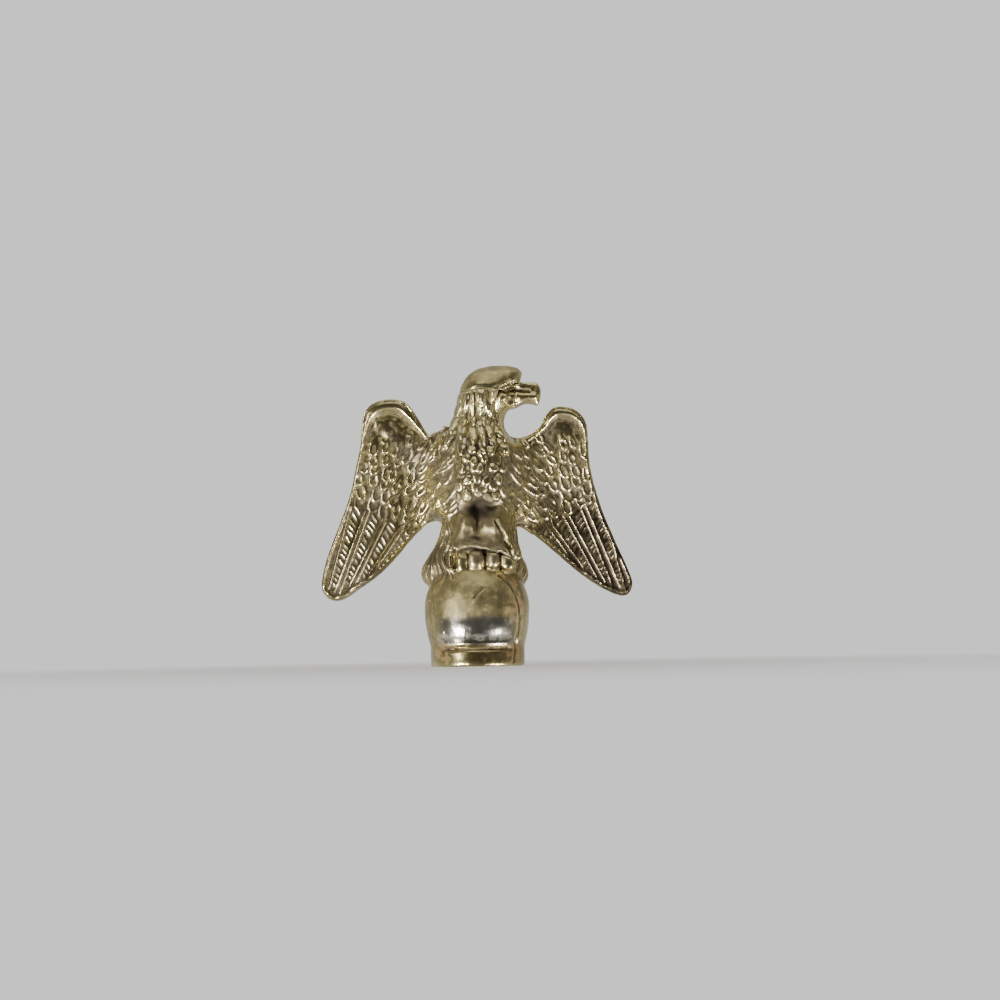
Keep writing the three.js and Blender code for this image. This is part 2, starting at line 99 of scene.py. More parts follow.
def smoothStep(value, low, high):
    share = np.clip((value - low) / (high - low), 0.0, 1.0)
    return share * share * (3.0 - 2.0 * share)


# 1 in the middle, rising between the first pair of limits and falling between the second
def window(value, rise, fall):
    return smoothStep(value, *rise) * (1 - smoothStep(value, *fall))


# 1 at the middle, and fading out to both sides
def bell(value, middle, width):
    return np.exp(-((value - middle) / width) ** 2)


def roundLine(points, count, closed=True):
    points = np.array(points, dtype=float)
    total = len(points) if closed else len(points) - 1
    out = []
    for i in range(count):
        at = i / (count if closed else count - 1) * total
        k = min(int(at), total - 1)
        t = at - k
        ids = [k - 1, k, k + 1, k + 2]
        if closed:
            ids = [j % len(points) for j in ids]
        else:
            ids = [min(max(j, 0), len(points) - 1) for j in ids]
        a, b, c, d = points[ids]
        out.append(0.5 * (2 * b + (c - a) * t + (2 * a - 5 * b + 4 * c - d) * t * t
                          + (3 * b - 3 * c + d - a) * t ** 3))
    return np.array(out)


# sizes of the finial, millimetres

eagle = {
    "height": 41.6,
    "perch": 15.234,
    "reach": 29.9,
    "wingThickness": 2.4,
    "wingRounding": 0.7,
    "wingLean": 0.17,
    "wingPivot": 50.93,
}

# share of the reach, share of the eagle's height
wingOutlines = {
    "left": [
        (0.12, 0.69), (0.245, 0.705), (0.289, 0.692), (0.332, 0.739), (0.381, 0.798), (0.442, 0.845),
        (0.532, 0.858), (0.626, 0.846), (0.694, 0.805), (0.719, 0.736), (0.731, 0.644), (0.759, 0.562),
        (0.793, 0.452), (0.854, 0.329), (0.939, 0.183), (0.993, 0.058), (0.994, -0.014), (0.935, -0.053),
        (0.861, -0.05), (0.759, -0.004), (0.626, 0.062), (0.517, 0.137), (0.415, 0.222), (0.316, 0.288),
        (0.245, 0.303), (0.205, 0.28), (0.12, 0.25)],
    "right": [
        (0.12, 0.67), (0.213, 0.683), (0.273, 0.673), (0.353, 0.686), (0.419, 0.719), (0.453, 0.767),
        (0.506, 0.805), (0.569, 0.811), (0.652, 0.793), (0.712, 0.743), (0.727, 0.668), (0.732, 0.577),
        (0.755, 0.476), (0.812, 0.337), (0.893, 0.195), (0.972, 0.067), (1.0, -0.007), (0.962, -0.054),
        (0.899, -0.05), (0.792, -0.014), (0.659, 0.053), (0.516, 0.142), (0.393, 0.218), (0.306, 0.262),
        (0.26, 0.269), (0.225, 0.25), (0.12, 0.24)],
}


def wingLoop(sideName, count=150):
    sign = -1 if sideName == "left" else 1
    reach, height = eagle["reach"], eagle["height"]
    pairs = [(sign * a * reach, eagle["perch"] + b * height) for a, b in wingOutlines[sideName]]
    return roundLine(pairs, count)


# rows of height, left, right, front and back, in percent of the eagle's height
bodyStacks = {
    "torso": [
        (21.2, -16.3, 18.8, -14.2, 15.9), (28.4, -15.1, 18.3, -14.4, 15.4),
        (33.9, -15.9, 19.2, -13.0, 15.1), (39.2, -16.3, 20.2, -15.1, 14.9),
        (47.6, -16.3, 20.7, -17.5, 14.7), (56.0, -15.9, 20.2, -17.3, 14.7),
        (62.7, -15.9, 18.8, -15.6, 14.4), (67.3, -16.6, 16.8, -13.5, 13.7),
        (69.8, -14.0, 14.8, -12.1, 12.6), (72.6, -10.6, 13.2, -10.9, 10.6)],
    "skirt": [
        (-1.4, -20.7, 20.7, -8.4, 18.3), (0.2, -22.4, 22.1, -10.1, 20.2),
        (2.4, -24.3, 23.1, -11.8, 21.4), (5.5, -25.2, 23.4, -13.5, 21.4),
        (8.7, -24.3, 22.6, -14.4, 20.7), (12.0, -22.1, 20.7, -14.9, 19.5),
        (17.3, -18.8, 19.6, -14.9, 17.8), (22.4, -16.3, 18.5, -14.4, 16.3),
        (28.4, -15.1, 18.3, -13.9, 15.1)],
    "head": [
        (66.8, -13.5, 15.1, -12.4, 13.0), (71.2, -12.3, 14.1, -10.9, 11.8),
        (75.0, -10.1, 13.7, -10.2, 10.3), (78.1, -8.7, 14.9, -10.8, 9.1),
        (81.2, -7.7, 17.3, -12.1, 8.2), (85.3, -6.6, 18.5, -13.1, 7.7),
        (89.9, -6.0, 20.2, -12.9, 7.2), (94.0, -3.7, 22.1, -11.2, 6.2),
        (96.4, -1.7, 22.6, -9.8, 5.0), (98.6, 1.7, 20.9, -7.2, 2.9),
        (100.0, 7.9, 16.6, -3.6, -0.2)],
}


def figure(percent):
    return np.multiply(percent, eagle["height"] / 100)


def figureZ(percent):
    return eagle["perch"] + figure(percent)


def figureSpot(across, depth, height):
    return figure(across), figure(depth), figureZ(height)


def rowMiddle(row):
    height, left, right, front, back = row
    middle = Vector(figureSpot((left + right) / 2, (front + back) / 2, height)) * mm
    half = (figure((right - left) / 2) * mm, figure((back - front) / 2) * mm)
    return middle, half


def roundStack(name, rows, sides=56):
    middle, half = rowMiddle(rows[0])
    pickNothing()
    bpy.ops.mesh.primitive_circle_add(vertices=sides, radius=1, fill_type="NGON", location=middle)
    stack = newestObject(name)
    editAll()
    bpy.ops.transform.resize(value=(half[0], half[1], 1))
    for row in rows[1:]:
        nextMiddle, nextHalf = rowMiddle(row)
        bpy.ops.mesh.extrude_region_move(TRANSFORM_OT_translate={"value": nextMiddle - middle})
        bpy.ops.transform.resize(value=(nextHalf[0] / half[0], nextHalf[1] / half[1], 1))
        middle, half = nextMiddle, nextHalf
    faceOutwards()
    applyPlace(stack)
    return stack


def bead(at, radii, turn=(0, 0, 0)):
    pickNothing()
    bpy.ops.mesh.primitive_uv_sphere_add(
        segments=24, ring_count=14, radius=1, location=Vector(at) * mm,
        rotation=[math.radians(a) for a in turn], scale=[r * mm for r in radii])
    thing = newestObject("bead")
    applyPlace(thing)
    return thing


def flatPlate(name, loop, front, back, rounding):
    pickNothing()
    bpy.ops.mesh.primitive_circle_add(vertices=len(loop), radius=0.01, fill_type="NGON")
    plate = newestObject(name)
    for vertex, (x, z) in zip(plate.data.vertices, loop):
        vertex.co = (x * mm, front * mm, z * mm)
    editAll()
    bpy.ops.mesh.extrude_region_move(TRANSFORM_OT_translate={"value": (0, (back - front) * mm, 0)})
    faceOutwards()
    pickNoneOf("EDGE")
    for edge in plate.data.edges:
        ends = [plate.data.vertices[i].co.y for i in edge.vertices]
        edge.select = abs(ends[0] - ends[1]) < 1e-6
    bpy.ops.object.mode_set(mode="EDIT")
    bpy.ops.mesh.bevel(offset=rounding * mm, segments=4, affect="EDGES")
    endEdit()
    return plate


# ball and collar

ballBase = {
    "footRadius": 8.6,
    "collarRadius": 8.8,
    "collarHeight": 4.0,
    "collarRows": [0.2, 1.5, 3.0],
    "ballRadius": 9.85,
    "ballRise": 6.9,
    "riseRows": 10,
    "domeRows": 12,
    "shoulder": 0.75,
    "sides": 96,
    "socketRadius": 3.175,
    "socketDepth": 9.6,
    "socketSides": 64,
}


def ballRadiusAt(z):
    collar, rise = ballBase["collarHeight"], ballBase["ballRise"]
    neck, ball = ballBase["collarRadius"], ballBase["ballRadius"]
    if z <= collar:
        return neck
    if z < collar + rise:
        swell = math.sin((z - collar) / rise * math.pi / 2) ** ballBase["shoulder"]
        return neck + (ball - neck) * swell
    return math.sqrt(max(ball ** 2 - (z - (collar + rise)) ** 2, 1e-4))


def makeBallBase():
    base = ballBase
    collar, rise, dome = base["collarHeight"], base["ballRise"], base["ballRadius"]
    heights = [0, *base["collarRows"], collar]
    heights += [collar + rise * i / base["riseRows"] for i in range(1, base["riseRows"])]
    turns = [math.radians(90 * i / base["domeRows"]) for i in range(base["domeRows"])]
    heights += [collar + rise + dome * math.sin(turn) for turn in turns]
    radii = [base["footRadius"]] + [ballRadiusAt(z) for z in heights[1:]]
    pickNothing()
    bpy.ops.mesh.primitive_circle_add(
        vertices=base["sides"], radius=radii[0] * mm, fill_type="NGON", location=(0, 0, 0))
    ball = newestObject("ballBase")
    editAll()
    for i in range(1, len(heights)):
        step = (heights[i] - heights[i - 1]) * mm
        bpy.ops.mesh.extrude_region_move(TRANSFORM_OT_translate={"value": (0, 0, step)})
        grow = radii[i] / radii[i - 1]
        bpy.ops.transform.resize(value=(grow, grow, 1))
    faceOutwards()
    return ball


def drillSocket(ball):
    base = ballBase
    pickNothing()
    bpy.ops.mesh.primitive_cylinder_add(
        vertices=base["socketSides"], radius=base["socketRadius"] * mm, depth=2 * base["socketDepth"] * mm)
    drill = newestObject("drill")
    pick(ball)
    shapeWith(ball, "BOOLEAN", operation="DIFFERENCE", object=drill, solver="EXACT")
    bpy.data.objects.remove(drill)


# wings


def makeWing(sideName):
    half = eagle["wingThickness"] / 2
    wing = flatPlate(sideName + "Wing", wingLoop(sideName), -half, half, eagle["wingRounding"])
    for vertex in wing.data.vertices:
        vertex.co.y += (eagle["wingPivot"] * mm - vertex.co.z) * eagle["wingLean"]
    return wing


# head: places in percent of the eagle's height, radii and rounding in millimetres

head = {
    "middle": -2.2,
    "beakOutline": [
        (16.3, 93.0), (21.5, 91.8), (24.5, 91.6), (27.6, 91.9), (29.8, 90.9), (30.9, 88.4), (30.7, 85.0),
        (29.4, 81.4), (27.8, 81.9), (24.0, 82.5), (20.9, 81.5), (17.5, 80.0), (14.4, 82.7)],
    "beakThickness": 3.4,
    "beakRounding": 0.55,
    "beakRun": (16.3, 30.6),
    "beakSpread": (1.5, 0.72),
    # across, outward, height, radii, turn: brow, corner of the beak, its bar, hook
    "beads": [
        (16.6, 8.2, 90.6, (1.7, 0.55, 0.42), -24),
        (13.6, 8.6, 84.0, (1.25, 0.85, 0.8), -22),
        (17.5, 4.9, 84.9, (0.9, 0.78, 0.78), 0),
        (20.0, 4.6, 84.9, (0.9, 0.8, 0.8), 0),
        (22.5, 4.2, 84.9, (0.9, 0.8, 0.8), 0),
        (25.0, 3.8, 84.9, (0.9, 0.78, 0.78), 0),
        (27.5, 3.4, 84.9, (0.9, 0.75, 0.75), 0),
        (28.6, 2.4, 88.9, (0.8, 0.65, 0.75), 0)],
}


def makeBeak():
    loop = roundLine([(figure(a), figureZ(b)) for a, b in head["beakOutline"]], 60)
    half = head["beakThickness"] / 2
    beak = flatPlate("beak", loop, -half, half, head["beakRounding"])
    root, tip = [figure(at) * mm for at in head["beakRun"]]
    wide, narrow = head["beakSpread"]
    for vertex in beak.data.vertices:
        share = min(max((vertex.co.x - root) / (tip - root), 0), 1)
        spread = wide + (narrow - wide) * share
        vertex.co.y = vertex.co.y * spread + figure(head["middle"]) * mm
    return beak


def makeFace():
    middle = figure(head["middle"])
    things = []
    for side in (-1, 1):
        for across, outward, height, radii, turn in head["beads"]:
            at = (figure(across), middle + side * figure(outward), figureZ(height))
            things.append(bead(at, radii, (0, turn, 0)))
    return things


# feet, hem and thighs: places in percent of the eagle's height, radii and rounding in millimetres

feet = {
    # across, half width
    "toes": [(-6.3, 2.6), (0.1, 3.5), (7.8, 3.0), (14.4, 3.1)],
    "toeTop": 14.5,
    "toeFoot": 6.3,
    "toeFront": -19.6,
    "toeHalfLength": 5.5,
    "toeDroop": 0.014,
    "toeMiddle": 4,
    "toeGap": 0.02,
    "toeRounding": 1.02,
    # across, height
    "hem": [(-9.0, 15.6), (-5.5, 16.9), (-2.0, 17.6), (3.5, 16.4), (9.5, 15.4), (14.0, 14.0), (17.5, 12.0)],
    "hemFront": -15.0,
    "hemBow": 0.012,
    "hemMiddle": 3,
    "hemBeads": 12,
    "hemRadii": (1.4, 1.2, 0.85),
    "claw": (-11.0, -14.9, 6.4),
    "clawRadii": (1.0, 0.7, 0.55),
    "clawTurn": 15,
    # across, top, foot, fullness
    "thighs": [(-5.2, 36.5, 15.5, 1.0), (7.6, 33.0, 15.0, 1.1)],
    "thighMiddle": -10.6,
    "thighRun": 1.6,
    "thighBow": 2,
    # share of the way down, width
    "thighRows": [(0.0, 3.0), (0.2, 5.2), (0.45, 6.0), (0.75, 5.4), (1.0, 4.6)],
    "thighRadii": (6.4, 5.4),
}


def roundBlock(at, halves, rounding):
    pickNothing()
    bpy.ops.mesh.primitive_cube_add(size=2, location=Vector(at) * mm, scale=[h * mm for h in halves])
    thing = newestObject("block")
    applyPlace(thing)
    editAll()
    bpy.ops.mesh.bevel(offset=rounding * mm, segments=5, affect="EDGES")
    endEdit()
    return thing


def makeToes():
    top, foot, length = feet["toeTop"], feet["toeFoot"], feet["toeHalfLength"]
    things = []
    for across, half in feet["toes"]:
        droop = feet["toeDroop"] * (across - feet["toeMiddle"]) ** 2
        forward = feet["toeFront"] + length + droop * 1.3
        middle = figureSpot(across, forward, (top + foot) / 2 - droop * 0.7)
        halves = (figure(half) - feet["toeGap"], figure(length), figure((top - foot) / 2))
        things.append(roundBlock(middle, halves, feet["toeRounding"]))
    return things


def makeHem():
    arch = np.array(feet["hem"])
    things = []
    for across in np.linspace(arch[0, 0], arch[-1, 0], feet["hemBeads"]):
        height = np.interp(across, arch[:, 0], arch[:, 1])
        forward = feet["hemFront"] + feet["hemBow"] * (across - feet["hemMiddle"]) ** 2
        things.append(bead(figureSpot(across, forward, height), feet["hemRadii"]))
    return things


def makeClaw():
    return bead(figureSpot(*feet["claw"]), feet["clawRadii"], (0, feet["clawTurn"], 0))


def makeThighs():
    deep, tall = feet["thighRadii"]
    fullest = max(feet["thighRows"], key=lambda row: row[1])[0]
    things = []
    for across, high, low, fullness in feet["thighs"]:
        for share, width in feet["thighRows"]:
            forward = feet["thighMiddle"] + abs(share - fullest) * feet["thighBow"]
            at = figureSpot(across + share * feet["thighRun"], forward, high + (low - high) * share)
            things.append(bead(at, (figure(width * fullness), figure(deep), figure(tall))))
    return things


# one skin over all of it

skin = {
    "cell": 0.32,
    "smoothRounds": 3,
    "smoothShare": 0.5,
    "carvedFrom": 15.5,
    "creaseHeight": 3.4,
    "creaseHalf": 1.2,
    "frontNormal": 0.25,
    "triangles": 196000,
}


def makeSkin():
    ball = makeBallBase()
    drillSocket(ball)
    parts = [ball] + [roundStack(name, rows) for name, rows in bodyStacks.items()]
    parts += [makeWing("left"), makeWing("right"), makeBeak()]
    parts += makeFace() + makeToes() + makeHem() + [makeClaw()] + makeThighs()
    print("forms made:", len(parts))
    pick(*parts)
    bpy.ops.object.join()
    body = newestObject("eagleFinial")
    shapeWith(body, "REMESH", mode="VOXEL", voxel_size=skin["cell"] * mm, adaptivity=0)
    shapeWith(body, "SMOOTH", factor=skin["smoothShare"], iterations=skin["smoothRounds"])
    return body


def refineFront(body):
    pickNoneOf("FACE")
    for face in body.data.polygons:
        height = face.center.z / mm
        inCrease = abs(height - skin["creaseHeight"]) < skin["creaseHalf"]
        carved = height > skin["carvedFrom"] or inCrease
        face.select = face.normal.y < skin["frontNormal"] and carved
    bpy.ops.object.mode_set(mode="EDIT")
    bpy.ops.mesh.subdivide(number_cuts=1, smoothness=0)
    endEdit()


def triangleCount(body):
    return sum(len(face.vertices) - 2 for face in body.data.polygons)


def readSkin(body):
    mesh = body.data
    co = np.empty(len(mesh.vertices) * 3)
    mesh.vertices.foreach_get("co", co)
    edges = np.empty(len(mesh.edges) * 2, dtype=int)
    mesh.edges.foreach_get("vertices", edges)
    return co.reshape(-1, 3) / mm, edges.reshape(-1, 2)


def writeSkin(body, co):
    body.data.vertices.foreach_set("co", (co * mm).ravel())
    body.data.update()


def skinNormals(body):
    normals = np.empty(len(body.data.vertices) * 3)
    body.data.vertex_normals.foreach_get("vector", normals)
    return normals.reshape(-1, 3)


def neighbourMean(values, edges):
    a, b = edges[:, 0], edges[:, 1]
    total = len(values)
    count = np.bincount(a, minlength=total) + np.bincount(b, minlength=total)
    out = np.empty_like(values)
    for k in range(values.shape[1]):
        sums = np.bincount(a, values[b, k], total) + np.bincount(b, values[a, k], total)
        out[:, k] = sums / count
    return out


def relax(co, edges, weight, rounds):
    weight = weight[:, None]
    for _ in range(rounds):
        co = co + weight * 0.5 * (neighbourMean(co, edges) - co)
    return co


def frontPart(co, front, middle, half):
    return (co[:, 1] < front) & (np.abs(co[:, 0] - middle) < half)


def wingPlane(z):
    return (eagle["wingPivot"] - z) * eagle["wingLean"]


flank = {
    "middle": 0.7,
    "reach": 12.5,
    "curve": 1.5,
    "proud": 0.25,
    "rise": (25.5, 29.5),
    "fall": (40.5, 43.5),
}


# the breast runs out over the wings in one slope
def fillFlanks(co):
    x, y, z = co.T
    rows = bodyStacks["torso"]
    breast = np.interp(z, [figureZ(row[0]) for row in rows], [figure(row[3]) for row in rows])
    plate = wingPlane(z) - eagle["wingThickness"] / 2
    across = np.clip(np.abs(x - flank["middle"]) / flank["reach"], 0, 1)
    slope = np.cos(across * math.pi / 2) ** flank["curve"]
    target = plate - (plate - breast) * slope
    share = window(z, flank["rise"], flank["fall"])
    share = share * (y < plate + flank["proud"]) * (across < 1)
    co[:, 1] = y + (target - y) * share
    return co


# forms that meet run into one another
def blendForms(body):
    co, edges = readSkin(body)
    co = fillFlanks(co)
    x, y, z = co.T
    sides = smoothStep(np.abs(x - flank["middle"]), 3.5, 5.5) * (1 - smoothStep(np.abs(x), 12.0, 14.0))
    sides = sides * window(z, (24.5, 28.5), (41.0, 44.5)) * (y < 3)
    thighs = frontPart(co, -2.5, 1.5, 9) * ((z > 21.8) & (z < 33))
    thighSides = thighs * smoothStep(np.abs(x - 0.8), 2.8, 4.6)
    belly = bell(z, 29.6, 1.3) * frontPart(co, -2.5, 1, 8)
    hemTop = bell(z, 22.6, 0.8) * frontPart(co, -3.5, 1, 9)
    toes = frontPart(co, -5, 1.7, 8) * ((z > 17) & (z < 21))
    face = (z > 47) & (np.abs(y + 1) > 1.2)
    places = [(sides, 60), (thighs, 10), (thighSides, 50), (belly, 25), (hemTop, 30), (toes, 6), (face, 2)]
    for share, rounds in places:
        co = relax(co, edges, share.astype(float), rounds)
    writeSkin(body, co)


finial = makeSkin()
print("skin faces:", len(finial.data.polygons))
blendForms(finial)
refineFront(finial)
print("front refined, triangles:", triangleCount(finial))
bpy.ops.object.shade_smooth()


# carving: distances to lines on the front, and forms along them

rng = np.random.default_rng(11)


def squaredGap(x, z, a, b):
    run = b - a
    t = np.clip(((x - a[0]) * run[0] + (z - a[1]) * run[1]) / (run @ run), 0, 1)
    return (x - a[0] - t * run[0]) ** 2 + (z - a[1] - t * run[1]) ** 2


def insideDistance(x, z, loop):
    best = np.full(len(x), 1e9)
    inside = np.zeros(len(x), dtype=bool)
    for a, b in zip(loop, np.roll(loop, -1, axis=0)):
        best = np.minimum(best, squaredGap(x, z, a, b))
        crosses = (a[1] > z) != (b[1] > z)
        if crosses.any():
            edgeX = (b[0] - a[0]) * (z - a[1]) / (b[1] - a[1]) + a[0]
            inside ^= crosses & (x < edgeX)
    return np.sqrt(best) * np.where(inside, 1, -1)


def lineDistance(x, z, points):
    points = np.array(points)
    best = np.full(len(x), 1e9)
    for a, b in zip(points[:-1], points[1:]):
        best = np.minimum(best, squaredGap(x, z, a, b))
    return np.sqrt(best)


def stroke(x, z, points, lift, width):
    return lift * bell(lineDistance(x, z, points), 0, width)


def lumps(co, size, seed):
    offset = Vector((seed * 7.3, seed * 3.1, seed * 5.7))
    return np.array([noise.noise(Vector(p) / size + offset) for p in co])


def featherField(x, z, feathers, dish=0.75, taper=0.22, tipRim=0.0):
    height = np.zeros(len(x))
    for fx, fz, dx, dz, length, width, lift in feathers:
        near = (np.abs(x - fx) < 3.2) & (np.abs(z - fz) < 3.2)
        if not near.any():
            continue
        across, up = x[near] - fx, z[near] - fz
        u = (across * dx + up * dz) / length
        v = (across * dz - up * dx) / (width * (1 + taper * np.clip(u, -1, 1)))
        gap = u * u + v * v
        dome = np.clip(1 - gap, 0, 1) ** 0.5 * (0.74 + 0.36 * np.clip(u, -1, 1))
        hollow = dish * bell(u, 0.05, 0.55) * bell(v, 0, 0.45)
        rim = bell(np.sqrt(gap), 0.74, 0.17) * np.clip(0.3 + 0.8 * u, 0, 1)
        form = (1 - 0.45 * tipRim) * (dome - hollow * dome) + tipRim * rim
        height[near] = np.maximum(height[near], lift * form)
    return height


# relief of the wings

wingRelief = {
    "rimTop": 2.7,
    "rimLow": 0.8,
    "rimGrows": (42.5, 49.5),
    "rimRoll": 0.24,
    "panelSink": 0.6,
    "lobeSink": 0.35,
    "lobeFrom": (42, 47),
    "bodyEnds": (7.5, 10.5),
    "featherLift": 0.6,
    "tipRim": 0.6,
    "quillLift": 0.34,
    "shaftLift": 0.28,
    "shaftWidth": 0.17,
    "boldQuill": 2,
    "barbPitch": 1.12,
    "barbLift": 0.17,
}

# the long quills, outermost and innermost: share of the reach, share of the eagle's height
quillFan = {"starts": [(0.80, 0.40), (0.35, 0.245)], "ends": [(0.985, -0.03), (0.63, 0.04)], "count": 4}

# the short feathers: first one, and the steps from row to row and column to column
covertGrid = {"start": (21.2, 45.4), "row": (1.05, 2.6), "column": (2.3, 0.56), "stagger": 1.15}

# dents and knobs on the bare panels: across, height, spread, lift
lobeMarks = {
    "left": [
        (-17.5, 42.9, 1.05, -0.42), (-17.5, 42.9, 0.5, 0.34), (-17.6, 45.4, 1.3, 0.25),
        (-16.2, 44.6, 0.8, 0.2), (-12.4, 43.9, 0.75, -0.25), (-12.4, 43.9, 0.34, 0.22),
        (-19.4, 46.0, 0.8, -0.22)],
    "right": [
        (16.6, 44.2, 1.7, 0.34), (16.9, 42.0, 0.8, -0.3), (10.6, 42.3, 0.95, 0.3),
        (10.6, 42.3, 0.5, -0.5), (13.4, 40.6, 0.95, 0.3), (13.4, 40.6, 0.5, -0.5),
        (19.3, 41.8, 0.7, -0.2)],
}


def wingSpot(sign, pair):
    return np.array([sign * pair[0] * eagle["reach"], eagle["perch"] + pair[1] * eagle["height"]])


def sideGap(x, z, a, run):
    return (x - a[0]) * run[1] - (z - a[1]) * run[0]


# which quill each point is on, the quills' width, the way along them and past their start
def quillField(x, z, sign):
    starts = [wingSpot(sign, pair) for pair in quillFan["starts"]]
    ends = [wingSpot(sign, pair) for pair in quillFan["ends"]]
    count = quillFan["count"]
    gaps = []
    for k in range(count + 1):
        share = k / count
        a = starts[0] + (starts[1] - starts[0]) * share
        b = ends[0] + (ends[1] - ends[0]) * share
        run = (b - a) / np.linalg.norm(b - a)
        gaps.append(sign * sideGap(x, z, a, run))
    place = np.full(len(x), -1.0)
    for k in range(count):
        between = (gaps[k] * gaps[k + 1]) <= 0
        share = gaps[k] / (gaps[k] - gaps[k + 1] + 1e-9)
        place = np.where(between, k + share, place)
    width = np.abs(gaps[0] - gaps[-1]) / count
    a = (starts[0] + starts[1]) / 2
    run = (ends[0] + ends[1]) / 2 - a
    along = ((x - a[0]) * run[0] + (z - a[1]) * run[1]) / np.linalg.norm(run)
    startLine = starts[1] - starts[0]
    startLine = startLine / np.linalg.norm(startLine)
    past = -sign * sideGap(x, z, starts[0], startLine)
    return place, width, along, past


def coverts(sign, loop):
    grid = covertGrid
    (startX, startZ), (rowX, rowZ), (columnX, columnZ) = grid["start"], grid["row"], grid["column"]
    feathers = []
    for row in range(-2, 9):
        for column in range(-3, 10):
            away = startX - column * columnX - row * rowX + (row % 2) * grid["stagger"]
            x = sign * away + rng.normal(0, 0.28)
            z = startZ - row * rowZ - column * columnZ + rng.normal(0, 0.38)
            near = np.clip((abs(x) - 6) / 15, 0, 1)
            turn = math.radians(46 - 36 * near + rng.normal(0, 6))
            size = 0.82 + 0.44 * np.clip((44.5 - z) / 10, 0, 1) + rng.normal(0, 0.14)
            lift = rng.uniform(0.55, 1.3)
            length = (2.0 - 0.3 * near) * size
            width = (0.58 + 0.3 * near) * size
            feathers.append((x, z, sign * math.sin(turn), -math.cos(turn), length, width, lift))
    feathers = np.array(feathers)
    x, z = feathers[:, 0], feathers[:, 1]
    past = quillField(x, z, sign)[3]
    onWing = (insideDistance(x, z, loop) > 0.8) & (past < 0.9) & (z < 43.4)
    onFlank = (np.abs(x) < 8.5) & (z > 27.6) & (z < 42.5)
    clearOfBreast = np.where(sign < 0, x < -3.6, x > 6.2)
    return feathers[(onWing | onFlank) & clearOfBreast]


def quillForms(place, width, along):
    relief = wingRelief
    quill = np.floor(place)
    part = place - quill
    edgeGap = np.minimum(part, 1 - part) * width
    ridge = relief["quillLift"] * smoothStep(edgeGap, 0.0, 0.42) * (0.75 + 0.35 * part)
    strong = np.where(quill == relief["boldQuill"], 1.3, 0.8)
    shaft = relief["shaftLift"] * strong * bell(part * width, 0.5, relief["shaftWidth"])
    slant = (part - 0.5) * width
    bent = along - 0.55 * slant + 0.4 * quill + 0.2 * np.sin(along * 1.3 + 2.4 * quill)
    wave = (0.5 + 0.5 * np.sin(2 * math.pi * bent / relief["barbPitch"])) ** 3
    wave = wave * (0.75 + 0.3 * np.sin(along * 1.3 + 4.0 * quill))
    beside = window(part, (0.26, 0.36), (0.62, 0.82)) * smoothStep(width, 0.9, 1.9)
    return ridge, shaft, relief["barbLift"] * wave * beside


def carveWing(co, normals, sideName, height):
    relief = wingRelief
    sign = -1 if sideName == "left" else 1
    loop = wingLoop(sideName)
    ids = np.nonzero((sign * co[:, 0] > 3.2) & (co[:, 2] > 10) & (co[:, 2] < 53))[0]
    x, _, z = co[ids].T
    gap = insideDistance(x, z, loop)
    facing = -normals[ids, 1]
    onPlate = smoothStep(gap, 0.0, 0.3)
    bodyShare = 1 - smoothStep(np.abs(x), *relief["bodyEnds"])
    rim = relief["rimLow"] + (relief["rimTop"] - relief["rimLow"]) * smoothStep(z, *relief["rimGrows"])
    rim *= 1 - 0.75 * (1 - smoothStep(np.abs(x), 10.5, 14.0)) * (z < 34)
    place, width, along, past = quillField(x, z, sign)
    quillZone = smoothStep(past, -0.3, 0.9) * (np.abs(x) > 9)

    deep = relief["panelSink"] + relief["lobeSink"] * smoothStep(z, *relief["lobeFrom"])
    slope = np.clip((gap - rim * 0.62) / (rim * 0.5 + 0.2), 0, 1)
    sunk = -deep * (0.6 * slope + 0.4 * smoothStep(slope, 0, 1)) * (1 - bodyShare)
    roll = np.clip(1 - gap / (rim * 0.75), 0, 1)
    rolled = -relief["rimRoll"] * (rim / relief["rimLow"]) ** 0.8 * roll ** 2 * (1 - bodyShare)
    feathers = featherField(x, z, coverts(sign, loop), tipRim=relief["tipRim"]) * relief["featherLift"]
    feathers *= (1 - quillZone) * np.maximum(smoothStep(gap, rim * 0.7, rim + 0.2), bodyShare)

    inFan = (place >= 0) * quillZone * smoothStep(gap, rim * 0.5, rim)
    ridge, shaft, barbs = [form * inFan for form in quillForms(place, width, along)]
    lobe = sum(lift * np.exp(-(((x - mx) ** 2 + (z - mz) ** 2) / spread ** 2))
               for mx, mz, spread, lift in lobeMarks[sideName])
    lobe = lobe * smoothStep(gap, rim * 0.6, rim + 0.3)

    front = sunk + rolled + feathers + ridge + shaft + barbs + lobe
    front = front * smoothStep(facing, 0.52, 0.85) * np.maximum(onPlate, bodyShare)
    back = (0.45 * feathers + 0.6 * ridge + 0.5 * shaft) * smoothStep(-facing, 0.6, 0.9) * onPlate
    height[ids] += np.where(facing > 0, front, back)


# relief of breast, neck and crown

bodyRelief = {
    "scaleLift": 0.8,
    "scaleStart": (1.3, 31.3),
    "scaleStep": (1.85, 1.75),
    "strandLift": 1.15,
    "lockLanes": 3,
    "lockStart": 50.9,
    "lockStep": 2.75,
    "boldLocks": [
        (1.5, 50.3), (2.9, 48.3), (1.7, 46.3), (4.1, 46.4), (0.0, 46.2), (1.4, 43.6), (2.8, 43.9)],
    # height, distance from the axis
    "neckLeft": [(41, 7.0), (43, 6.6), (46.7, 4.9), (50.5, 3.6), (53, 3.0)],
    "neckRight": [(41, 5.6), (42.5, 5.2), (45.7, 3.6), (48, 4.4), (50.5, 5.6), (53, 6.6)],
    "neckSink": 0.25,
    "capEdge": 51.85,
    "capLift": 0.22,
    "hollowDepth": 0.8,
    "foldDepth": 0.45,
    "grooveDepth": 0.85,
}


